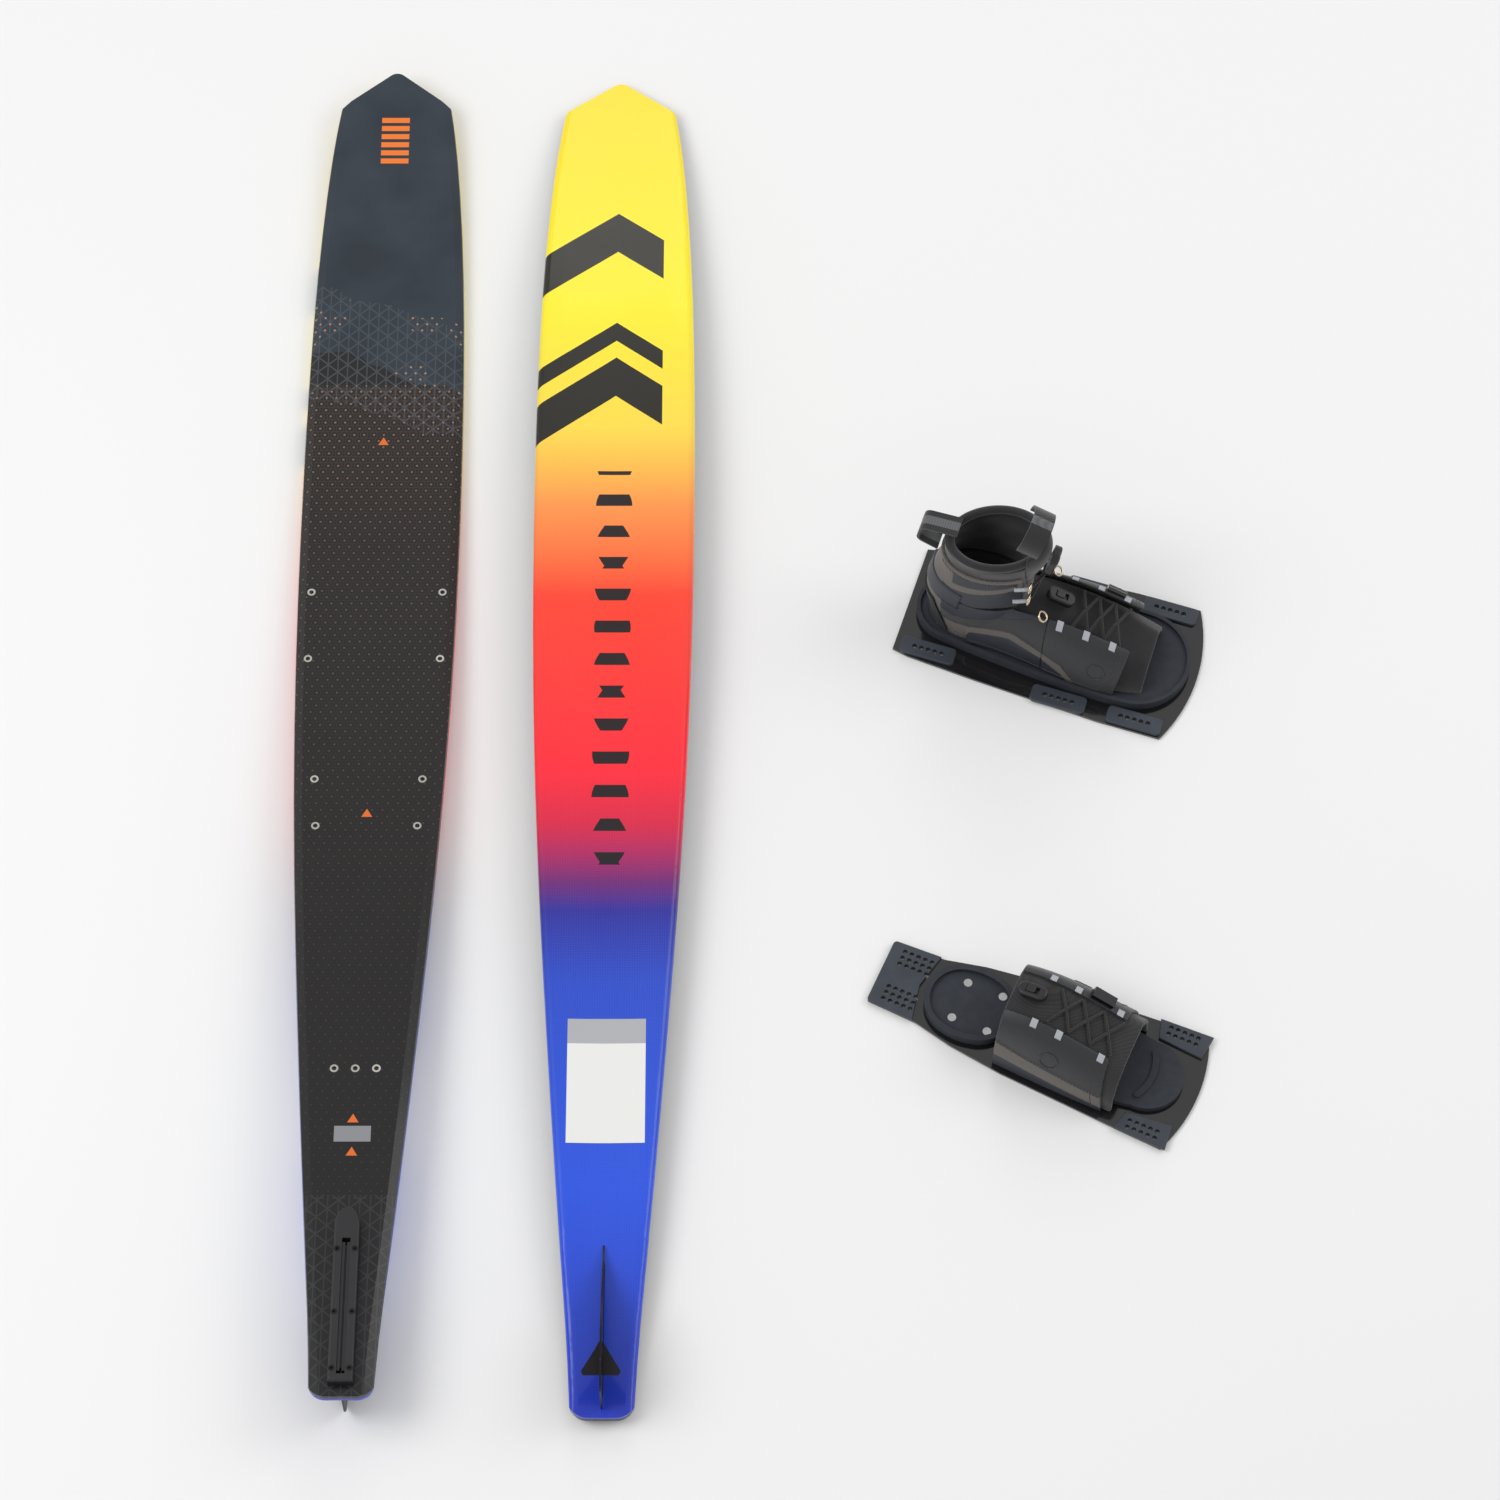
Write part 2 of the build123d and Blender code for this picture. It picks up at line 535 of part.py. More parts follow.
def lace_pass(points, radius=5.0):
    """One stretch of round lace along straight runs with rounded corners."""
    with BuildPart() as stretch:
        with BuildLine() as route:
            FilletPolyline(*points, radius=radius)
        with BuildSketch(Plane(origin=route.wire() @ 0, z_dir=route.wire() % 0)):
            Circle(LACE_D / 2)
        sweep(path=route.wire())
    return stretch.part


def throat_lace(xs, slices, half):
    """Lace that crosses the throat from row to row, both ways."""
    with BuildPart() as lace:
        for first, second in zip(xs, xs[1:]):
            for side in (-1, 1):
                middle = (first + second) / 2
                height = [crown(x, slices) + 1.0 for x in (first, middle, second)]
                add(lace_pass([
                    (first, side * half, height[0] - 3), (middle - 2, side * 4, height[1] + 0.6),
                    (second, -side * half, height[2] - 3),
                ]))
    return lace.part


RING_AT = (99.0, 31.5)
CUFF_RING_ROWS = (128, 153)
CUFF_RINGS = [
    Location((RING_AT[0] + z / 60, side * RING_AT[1], z), (0, 90, side * 48))
    for z in CUFF_RING_ROWS for side in (-1, 1)
]
ANKLE_RINGS = [Location((118, side * 30, 98), (0, 40, side * 55)) for side in (-1, 1)]

with BuildPart() as boot_cuff_rings:
    with Locations(*CUFF_RINGS):
        Torus(RING_R, RING_WIRE)

with BuildPart() as boot_ankle_rings:
    with Locations(*ANKLE_RINGS):
        Torus(RING_R, RING_WIRE)

with BuildPart() as boot_upper_lace:
    for side in (-1, 1):
        crossing = [(103, side * 20, 130), (108.5, side * 6, 137), (108, -side * 9, 143), (105, -side * 20, 150)]
        add(lace_pass(crossing, 2))

with BuildPart() as boot_lower_lace:
    add(throat_lace((150, 168, 186, 204), EYESTAY, 24))


def lock_body(length, width, height):
    with BuildPart() as body:
        with BuildSketch():
            SlotOverall(length, width)
        extrude(amount=height)
        fillet(body.faces().sort_by(Axis.Z)[-1].edges(), 2.4)
        with BuildSketch(Plane.XY.offset(height - 4)):
            Rectangle(14.6, 7.6)
        extrude(amount=10, mode=Mode.SUBTRACT)
    return body.part


def lock_button(height):
    with BuildPart() as button:
        with BuildSketch(Plane.XY.offset(height - 3.7)):
            with Locations((-1.8, 0)):
                RectangleRounded(10, 7, 1.5)
        extrude(amount=5.2)
        fillet(button.faces().sort_by(Axis.Z)[-1].edges(), 1.0)
    return button.part


UPPER_LOCK = Plane(origin=(113.6, 0, 170), x_dir=(-0.2, 0, -1), z_dir=(1, 0, -0.2))
LOWER_LOCK = Plane(origin=(129, 0, 94), x_dir=(1, 0, -0.3), z_dir=(0.3, 0, 1))
TOE_LOCK = Plane(origin=(139, 0, 95.5), x_dir=(1, 0, 0.1), z_dir=(-0.1, 0, 1))
boot_upper_lock = UPPER_LOCK * lock_body(42, 25, 8)
boot_upper_lock_button = UPPER_LOCK * lock_button(8)
boot_lower_lock = LOWER_LOCK * lock_body(32, 16, 8)
boot_lower_lock_button = LOWER_LOCK * lock_button(8)
toe_lock = TOE_LOCK * lock_body(32, 16, 8)
toe_lock_button = TOE_LOCK * lock_button(8)

with BuildPart() as guide_spots:
    with Locations(*[(x, side * (THROAT_HALF + 4), 60) for x in (138, 168, 198) for side in (-1, 1)]):
        Box(7, 8, 80)

with BuildPart() as boot_lace_guides:
    add(shell_piece(guide_spots.part, BOOT_TRIM, SHELL_OUTSIDE))

with BuildPart() as boot_lace_tube:
    with Locations(Location(TUBE_AT, (0, 90 + 17, 0))):
        Cylinder(4.2, 22)
    fillet(boot_lace_tube.edges(), 0.8)
    add(BOOT_TRIM, mode=Mode.SUBTRACT)

# ---------------------------------------------------------------- boot: pull loops
loop_plane = Plane(origin=(FRONT_LOOP_AT[0], 0, FRONT_LOOP_AT[1]), x_dir=(0, 1, 0), z_dir=(0.95, 0, -0.31))
with BuildPart() as boot_front_loop:
    with BuildSketch(loop_plane):
        with BuildLine():
            Line((-FRONT_LOOP_HALF, FRONT_LOOP_FOOT), (-FRONT_LOOP_HALF, FRONT_LOOP_BEND))
            ThreePointArc((-FRONT_LOOP_HALF, FRONT_LOOP_BEND), (0, FRONT_LOOP_CROWN), (FRONT_LOOP_HALF, FRONT_LOOP_BEND))
            Line((FRONT_LOOP_HALF, FRONT_LOOP_BEND), (FRONT_LOOP_HALF, FRONT_LOOP_FOOT))
            offset(amount=WEB_THICK, side=Side.LEFT)
        make_face()
    extrude(amount=WEB_WIDTH / 2, both=True)

with BuildPart() as boot_rear_loop:
    with BuildSketch(Plane.XZ):
        with BuildLine():
            FilletPolyline(*REAR_LOOP_ROUTE, radius=7)
            offset(amount=WEB_THICK, side=Side.LEFT)
        make_face()
    extrude(amount=WEB_WIDTH / 2, both=True)

# ---------------------------------------------------------------- toe binding: plate, ends, pads
REAR_GRID = [
    (k * HOLE_PITCH, side * (REAR_PITCH + j * 7.6)) for k in range(-2, 3) for j in (-1, 0, 1) for side in (-1, 1)
]
FRONT_GRID = [
    (TOE_ROWS["front"][0] + k * HOLE_PITCH, side * (TOE_SPREAD / 2 + j * 7.8))
    for k in range(-2, 3) for j in (0, 1) for side in (-1, 1)
]
TOE_SCREWS = [(x, side * 22) for x in (60, 100, 160, 225) for side in (-1, 1)]
TOE_PLATE_SIDE = [(-30, 37), (26, 40), (70, 50), (130, 58), (250, 66), (316, 70)]

with BuildPart() as toe_plate:
    with BuildSketch():
        with BuildLine():
            Polyline(*TOE_PLATE_SIDE)
            ThreePointArc(TOE_PLATE_SIDE[-1], (330, 0), (TOE_PLATE_SIDE[-1][0], -TOE_PLATE_SIDE[-1][1]))
            Polyline(*[(x, -y) for x, y in reversed(TOE_PLATE_SIDE)])
            Line((TOE_PLATE_SIDE[0][0], -TOE_PLATE_SIDE[0][1]), TOE_PLATE_SIDE[0])
        make_face()
    extrude(amount=PLATE_THICK)
    with Locations(*REAR_GRID, *FRONT_GRID):
        Cylinder(2.6, 20, mode=Mode.SUBTRACT)
    with Locations(*TOE_SCREWS):
        Cylinder(2.6, 20, mode=Mode.SUBTRACT)

with BuildPart() as toe_plate_rear_end:
    with BuildSketch(Plane.XY.offset(PLATE_THICK)):
        with BuildLine():
            Polyline((-31, -38), (22, -40), (14, 0), (22, 40), (-31, 38), close=True)
        make_face()
    extrude(amount=RAIL_UP)
    fillet(toe_plate_rear_end.edges().filter_by(Axis.Z).group_by(Axis.X)[0], 4)
    fillet(toe_plate_rear_end.faces().sort_by(Axis.Z)[-1].edges(), 1)
    with Locations(*REAR_GRID):
        Cylinder(2.6, 20, mode=Mode.SUBTRACT)

with BuildPart() as toe_plate_front_corners:
    for side in (-1, 1):
        with BuildSketch(Plane.XY.offset(PLATE_THICK)):
            with BuildLine():
                Polyline((262, side * 68), (268, side * 46), (318, side * 42), (321, side * 70), close=True)
            make_face()
        extrude(amount=RAIL_UP)
    fillet(toe_plate_front_corners.faces().filter_by(Plane.XY).group_by(Axis.Z)[-1].edges(), 1)
    with Locations(*FRONT_GRID):
        Cylinder(2.6, 20, mode=Mode.SUBTRACT)


HEEL_PAD = (22, [(56, 40), (72, 42), (88, 40)], 122)
TOE_PAD = (127, [(146, 33), (190, 40), (235, 43), (270, 39)], 312)
heel_pad_outline, heel_pad_dish = pad_outline(*HEEL_PAD), pad_outline(*HEEL_PAD, 6)
toe_pad_outline = pad_outline(*TOE_PAD)

with BuildPart() as toe_heel_pad:
    extrude(Plane.XY.offset(PLATE_THICK) * heel_pad_outline, 12)
    extrude(Plane.XY.offset(PLATE_THICK + 7) * heel_pad_dish, 12, mode=Mode.SUBTRACT)
    with Locations(*[(x, y, PLATE_THICK + 7) for x, y in TOE_SCREWS[:4]]):
        Cylinder(2.6, 20, mode=Mode.SUBTRACT)
        Cylinder(4.8, 4.6, mode=Mode.SUBTRACT)

with BuildPart() as toe_fore_pad:
    extrude(Plane.XY.offset(PLATE_THICK) * toe_pad_outline, 8)
    for x in (244, 272):
        with BuildSketch(Plane.XY.offset(PLATE_THICK + 7.5)):
            with Locations((x, 0)):
                SlotArc(ThreePointArc((0, -26), (7, 0), (0, 26)), 7)
        extrude(amount=2.8)
    with Locations(*[(x, y, PLATE_THICK + 8) for x, y in TOE_SCREWS[4:]]):
        Cylinder(2.6, 24, mode=Mode.SUBTRACT)
        Cylinder(4.8, 4.6, mode=Mode.SUBTRACT)

with BuildPart() as toe_screws:
    for spots, top in ((TOE_SCREWS[:4], PLATE_THICK + 7), (TOE_SCREWS[4:], PLATE_THICK + 8)):
        with Locations(*[(x, y, top) for x, y in spots]):
            Cylinder(4.6, 2.2, align=(Align.CENTER, Align.CENTER, Align.MAX))
            Cylinder(2.5, top - 0.2, align=(Align.CENTER, Align.CENTER, Align.MAX))

# ---------------------------------------------------------------- toe binding: overlays, liner, lace
toe_throat = Location((90, 0, 40)) * Box(200, 48, 120, align=(Align.MIN, Align.CENTER, Align.MIN))
toe_side = side_region([(100, 0), (244, 0), (234, 80), (148, 120), (130, 120), (100, 60)])


with BuildPart() as toe_overlay_both:
    add(TOE_OUTER)
    add(TOE_MIDDLE, mode=Mode.SUBTRACT)
    add(toe_side, mode=Mode.INTERSECT)
    add(toe_throat, mode=Mode.SUBTRACT)

with BuildPart() as toe_overlay_left:
    add(toe_overlay_both.part)
    split(bisect_by=Plane.XZ, keep=Keep.BOTTOM)

with BuildPart() as toe_overlay_right:
    add(toe_overlay_both.part)
    split(bisect_by=Plane.XZ, keep=Keep.TOP)

with BuildPart() as toe_liner:
    add(TOE_MIDDLE)
    add(TOE_INNER, mode=Mode.SUBTRACT)

with BuildPart() as toe_lace:
    add(throat_lace((164, 188, 212, 236), TOE_ARCH, 20))

with BuildPart() as toe_finger_tab:
    with Locations(Location((205, 33, 74), (0, 20, 0))):
        Box(26, 11, 16)
    add(TOE_OUTER, mode=Mode.SUBTRACT)

TOE_TRIM = toe_volume(-1.2)
with BuildPart() as toe_guide_spots:
    with Locations(*[(x, side * 28, 70) for x in (152, 180, 228) for side in (-1, 1)]):
        Box(7, 8, 80)

with BuildPart() as toe_lace_guides:
    add(shell_piece(toe_guide_spots.part, TOE_TRIM, TOE_OUTER))

# ================================================================ the set, placed and written
SKI_PIECES = {
    "deck_laminate": deck_laminate.part,
    "base_laminate": base_laminate.part,
    "foam_core": foam_core.part,
    "boot_inserts": boot_inserts.part,
    "toe_inserts": toe_inserts.part,
    "fin_block": fin_block.part,
    "fin_clamp_jaws": fin_clamp_jaws.part,
    "fin_block_screws": fin_block_screws.part,
    "fin": fin.part,
    "wing": wing.part,
    "wing_screws": wing_screws.part,
}
BOOT_PIECES = {
    "boot_plate": boot_plate.part,
    "boot_plate_rails": boot_plate_rails.part,
    "boot_footbed": boot_footbed.part,
    "boot_sole_screws": boot_sole_screws.part,
    "boot_quarter": boot_quarter.part,
    "boot_toe_overlay_left": boot_toe_overlay_left.part,
    "boot_toe_overlay_right": boot_toe_overlay_right.part,
    "boot_liner": boot_liner.part,
    "boot_heel_rubber": boot_heel_rubber.part,
    "boot_cuff": boot_cuff.part,
    "boot_collar": boot_collar.part,
    "boot_tongue": boot_tongue.part,
    "boot_cuff_rings": boot_cuff_rings.part,
    "boot_ankle_rings": boot_ankle_rings.part,
    "boot_upper_lace": boot_upper_lace.part,
    "boot_lower_lace": boot_lower_lace.part,
    "boot_upper_lock": boot_upper_lock,
    "boot_upper_lock_button": boot_upper_lock_button,
    "boot_lower_lock": boot_lower_lock,
    "boot_lower_lock_button": boot_lower_lock_button,
    "boot_lace_guides": boot_lace_guides.part,
    "boot_lace_tube": boot_lace_tube.part,
    "boot_front_loop": boot_front_loop.part,
    "boot_rear_loop": boot_rear_loop.part,
}
TOE_PIECES = {
    "toe_plate": toe_plate.part,
    "toe_plate_rear_end": toe_plate_rear_end.part,
    "toe_plate_front_corners": toe_plate_front_corners.part,
    "toe_heel_pad": toe_heel_pad.part,
    "toe_fore_pad": toe_fore_pad.part,
    "toe_screws": toe_screws.part,
    "toe_overlay_left": toe_overlay_left.part,
    "toe_overlay_right": toe_overlay_right.part,
    "toe_liner": toe_liner.part,
    "toe_lace": toe_lace.part,
    "toe_lock": toe_lock,
    "toe_lock_button": toe_lock_button,
    "toe_finger_tab": toe_finger_tab.part,
    "toe_lace_guides": toe_lace_guides.part,
}
SKI_A = Location((SKI_A_X, -SKI_LENGTH / 2, SKI_A_LIFT), (-SKI_A_PITCH, 0, 0))
BASE_UP = Location((0, 0, 0), (0, 180, 0))
SKI_B = Location((SKI_B_X, -SKI_LENGTH / 2, SKI_B_LIFT), (SKI_B_PITCH, 0, 0)) * BASE_UP
BOOT = Location((*BOOT_AT, 0), (0, 0, BOOT_YAW))
TOE = Location((*TOE_AT, 0), (0, 0, TOE_YAW))

for prefix, place, pieces in (
    ("ski_a_", SKI_A, SKI_PIECES),
    ("ski_b_", SKI_B, SKI_PIECES),
    ("", BOOT, BOOT_PIECES),
    ("", TOE, TOE_PIECES),
):
    for name, piece in pieces.items():
        placed = place * piece
        placed.label = prefix + name
        export_step(placed, f"parts/{prefix}{name}.step")
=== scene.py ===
import math

import bmesh
import bpy
from mathutils import Matrix, Vector
from mathutils.bvhtree import BVHTree


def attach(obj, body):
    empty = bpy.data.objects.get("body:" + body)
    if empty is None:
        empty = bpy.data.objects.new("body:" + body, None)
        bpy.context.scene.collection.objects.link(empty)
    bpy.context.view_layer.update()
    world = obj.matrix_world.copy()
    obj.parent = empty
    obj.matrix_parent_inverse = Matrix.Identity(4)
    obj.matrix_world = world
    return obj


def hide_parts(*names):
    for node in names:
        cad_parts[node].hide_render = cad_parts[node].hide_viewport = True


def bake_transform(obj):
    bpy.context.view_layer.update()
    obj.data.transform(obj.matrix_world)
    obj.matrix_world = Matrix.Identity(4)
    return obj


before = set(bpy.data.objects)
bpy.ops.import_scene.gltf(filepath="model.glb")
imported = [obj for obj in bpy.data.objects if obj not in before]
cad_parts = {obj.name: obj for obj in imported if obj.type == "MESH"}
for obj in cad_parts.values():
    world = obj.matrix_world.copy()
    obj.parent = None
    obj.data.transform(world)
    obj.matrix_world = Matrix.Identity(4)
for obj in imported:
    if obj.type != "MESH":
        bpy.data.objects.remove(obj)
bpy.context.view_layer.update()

# ---------------------------------------------------------------- frames of the pieces, in metres
SKI_LENGTH = 1.651
SKI_A_X, SKI_B_X = -0.410, -0.150
BOOT_AT, BOOT_YAW = (0.2132, 0.126), -18.0
TOE_AT, TOE_YAW = (0.167, -0.330), -24.0
BOOT = Matrix.Translation((*BOOT_AT, 0)) @ Matrix.Rotation(math.radians(BOOT_YAW), 4, "Z")
TOE = Matrix.Translation((*TOE_AT, 0)) @ Matrix.Rotation(math.radians(TOE_YAW), 4, "Z")


# ---------------------------------------------------------------- node arithmetic
class Val:
    """A float socket in a material, with the usual arithmetic."""

    def __init__(self, tree, out):
        self.tree, self.out = tree, out

    def _do(self, op, *others):
        node = self.tree.nodes.new("ShaderNodeMath")
        node.operation = op
        for slot, other in enumerate((self, *others)):
            if isinstance(other, Val):
                self.tree.links.new(other.out, node.inputs[slot])
            else:
                node.inputs[slot].default_value = other
        return Val(self.tree, node.outputs[0])

    def __add__(self, other):
        return self._do("ADD", other)

    def __sub__(self, other):
        return self._do("SUBTRACT", other)

    def __mul__(self, other):
        return self._do("MULTIPLY", other)

    def __truediv__(self, other):
        return self._do("DIVIDE", other)

    def abs(self):
        return self._do("ABSOLUTE")

    def below(self, other):
        return self._do("LESS_THAN", other)

    def above(self, other):
        return self._do("GREATER_THAN", other)

    def min(self, other):
        return self._do("MINIMUM", other)

    def max(self, other):
        return self._do("MAXIMUM", other)

    def fract(self):
        return self._do("FRACT")

    def sqrt(self):
        return self._do("SQRT")

    def sin(self):
        return self._do("SINE")

    def inv(self):
        return self * -1.0 + 1.0


class Mat:
    """A Principled material under construction."""

    def __init__(self, name, color, rough, metal=0.0, coat=0.0, sheen=0.0, spec=0.5):
        self.mat = bpy.data.materials.new(name)
        self.mat.use_nodes = True
        self.tree = self.mat.node_tree
        self.bsdf = next(n for n in self.tree.nodes if n.type == "BSDF_PRINCIPLED")
        self.bsdf.inputs["Base Color"].default_value = (*color, 1)
        self.bsdf.inputs["Roughness"].default_value = rough
        self.bsdf.inputs["Metallic"].default_value = metal
        self.bsdf.inputs["Coat Weight"].default_value = coat
        self.bsdf.inputs["Coat Roughness"].default_value = 0.08
        self.bsdf.inputs["Sheen Weight"].default_value = sheen
        self.bsdf.inputs["Specular IOR Level"].default_value = spec
        self.mat.diffuse_color = (*color, 1)

    def coords(self, origin=(0, 0, 0), yaw=0.0):
        """x, y, z in metres from an origin and turned to a piece's own axes."""
        node = self.tree.nodes.new("ShaderNodeTexCoord")
        shift = self.tree.nodes.new("ShaderNodeMapping")
        shift.vector_type = "TEXTURE"
        shift.inputs["Location"].default_value = origin
        shift.inputs["Rotation"].default_value = (0, 0, math.radians(yaw))
        self.tree.links.new(node.outputs["Object"], shift.inputs["Vector"])
        parts = self.tree.nodes.new("ShaderNodeSeparateXYZ")
        self.tree.links.new(shift.outputs["Vector"], parts.inputs[0])
        self.vector = shift.outputs["Vector"]
        return [Val(self.tree, parts.outputs[k]) for k in range(3)]

    def noise(self, scale, detail=3.0, stretch=None):
        node = self.tree.nodes.new("ShaderNodeTexNoise")
        node.inputs["Scale"].default_value = scale
        node.inputs["Detail"].default_value = detail
        if not hasattr(self, "vector"):
            self.coords()
        source = self.vector
        if stretch:
            map_ = self.tree.nodes.new("ShaderNodeMapping")
            map_.inputs["Scale"].default_value = stretch
            self.tree.links.new(self.vector, map_.inputs["Vector"])
            source = map_.outputs["Vector"]
        self.tree.links.new(source, node.inputs["Vector"])
        return Val(self.tree, node.outputs["Fac"])

    def ramp(self, value, stops):
        node = self.tree.nodes.new("ShaderNodeValToRGB")
        elements = node.color_ramp.elements
        elements[0].position, elements[0].color = stops[0][0], (*stops[0][1], 1)
        elements[1].position, elements[1].color = stops[-1][0], (*stops[-1][1], 1)
        for place, color in stops[1:-1]:
            elements.new(place).color = (*color, 1)
        self.tree.links.new(value.out, node.inputs["Fac"])
        return node.outputs["Color"]

    def mix(self, mask, first, second):
        """A colour that is first where mask is 0 and second where it is 1."""
        node = self.tree.nodes.new("ShaderNodeMix")
        node.data_type = "RGBA"
        self.tree.links.new(mask.out, node.inputs["Factor"])
        for socket, color in ((node.inputs[6], first), (node.inputs[7], second)):
            if isinstance(color, tuple):
                socket.default_value = (*color, 1)
            else:
                self.tree.links.new(color, socket)
        return node.outputs[2]

    def color(self, out):
        self.tree.links.new(out, self.bsdf.inputs["Base Color"])

    def rough(self, value):
        self.tree.links.new(value.out, self.bsdf.inputs["Roughness"])

    def bump(self, value, strength=0.3, distance=0.0004):
        node = self.tree.nodes.new("ShaderNodeBump")
        node.inputs["Strength"].default_value = strength
        node.inputs["Distance"].default_value = distance
        self.tree.links.new(value.out, node.inputs["Height"])
        self.tree.links.new(node.outputs["Normal"], self.bsdf.inputs["Normal"])


def linear(r, g, b):
    """A screen colour of 0 to 255 as the linear colour that a material takes."""
    shares = [c / 255 for c in (r, g, b)]
    return tuple(c / 12.92 if c <= 0.04045 else ((c + 0.055) / 1.055) ** 2.4 for c in shares)


def weave(u, v, pitch):
    """Height of a two-up two-down twill."""
    a = ((u + v) / pitch * math.tau).sin()
    b = ((u - v) / pitch * math.tau).sin()
    return a * b * 0.5 + 0.5


def band(value, low, high):
    return value.above(low) * value.below(high)


# ---------------------------------------------------------------- the skis' base
# x runs across the ski from its middle and y along it from its tail, in metres
DEEP_BLUE, BLUE, LATE_BLUE, NAVY_BLUE = (0, 50, 190), (0, 80, 225), (0, 70, 200), (15, 30, 155)
PURPLE, CRIMSON, RED, WARM_RED = (105, 15, 115), (215, 10, 65), (255, 20, 50), (255, 60, 35)
ORANGE, GOLD, YELLOW, TIP_YELLOW = (255, 150, 70), (255, 220, 70), (255, 240, 30), (255, 225, 0)
TAIL_TO_TIP = [
    (0.00, DEEP_BLUE), (0.15, BLUE), (0.29, LATE_BLUE), (0.34, NAVY_BLUE), (0.36, PURPLE), (0.40, CRIMSON),
    (0.44, RED), (0.57, WARM_RED), (0.64, ORANGE), (0.70, GOLD), (0.80, YELLOW), (1.00, TIP_YELLOW),
]
BASE_WEAVE = 0.0052
CHEVRON_SLOPE, CHEVRON_RIGHT, CHEVRON_FROM = 0.75, 0.052, 1.13
CHEVRONS = ((1.20, 1.252), (1.275, 1.300), (1.40, 1.455))
DASH_PITCH, DASH_FROM, DASH_TO, DASH_HALF = 0.040, 0.60, 1.10, 0.010
PANEL_HALF, PANEL_LOW, PANEL_HEAD, PANEL_TOP = 0.041, 0.296, 0.408, 0.436
INK = (0.006, 0.006, 0.008)


def base_material(name, centre):
    m = Mat(name, (0.9, 0.3, 0.05), 0.30, coat=0.35, spec=0.3)
    x, y, _z = m.coords((centre, -SKI_LENGTH / 2, 0))
    along = y / SKI_LENGTH
    color = m.ramp(along, [(s, linear(*c)) for s, c in TAIL_TO_TIP])
    # painted highlight: near-white glints mixed in along the weave, thinned out by streak noise
    glint = weave(x, y, BASE_WEAVE)
    glint_streak = m.noise(9, 2, (1, 0.25, 1))
    color = m.mix(glint * glint_streak * 0.04, color, (1.0, 0.96, 0.88))
    color = m.mix(((glint * 6.0).fract().below(0.2)) * 0.18, color, (0.25, 0.05, 0.02))
    # broad generic chevrons running off one edge in the yellow
    bend = (x * CHEVRON_SLOPE).abs() + y
    first, second, third = (band(bend, low, high) for low, high in CHEVRONS)
    chevrons = (first + second + third).min(1.0) * x.below(CHEVRON_RIGHT) * y.above(CHEVRON_FROM)
    color = m.mix(chevrons * 0.99, color, INK)
    # a column of generic dashes down the middle
    row = ((y - 0.565) / DASH_PITCH).fract()
    width = ((y * 61.0).sin().abs() * DASH_HALF) + DASH_HALF
    dashes = band(row, 0.25, 0.62) * x.abs().below(width) * band(y, DASH_FROM, DASH_TO)
    color = m.mix(dashes * 0.99, color, INK)
    # a blank grey and white panel
    panel = x.abs().below(PANEL_HALF) * band(y, PANEL_LOW, PANEL_TOP)
    header = x.abs().below(PANEL_HALF) * band(y, PANEL_HEAD, PANEL_TOP)
    color = m.mix(panel, color, (0.80, 0.80, 0.78))
    color = m.mix(header, color, (0.42, 0.43, 0.45))
    m.color(color)
    m.rough(m.noise(30, 2) * 0.10 + 0.26)
    m.bump(weave(x, y, BASE_WEAVE), 0.12, 0.0002)
    return m.mat


# ---------------------------------------------------------------- the skis' deck
DECK_WEAVE = 0.004
CELL_X, CELL_Y, HONEYCOMB_Y = 0.011, 0.0164, 0.00953
DOT_R, ARC_INNER, ARC_OUTER = 0.0013, 0.0041, 0.0045
COPPER_FROM, COPPER_TO, TAIL_HONEYCOMB_TO = 0.19, 1.23, 0.225
TIP_FROM, TIP_RAKE = 1.275, 0.32
BAR_PITCH = 0.011
TRIANGLE_YS = (1.155, 0.676, 0.312, 0.274)


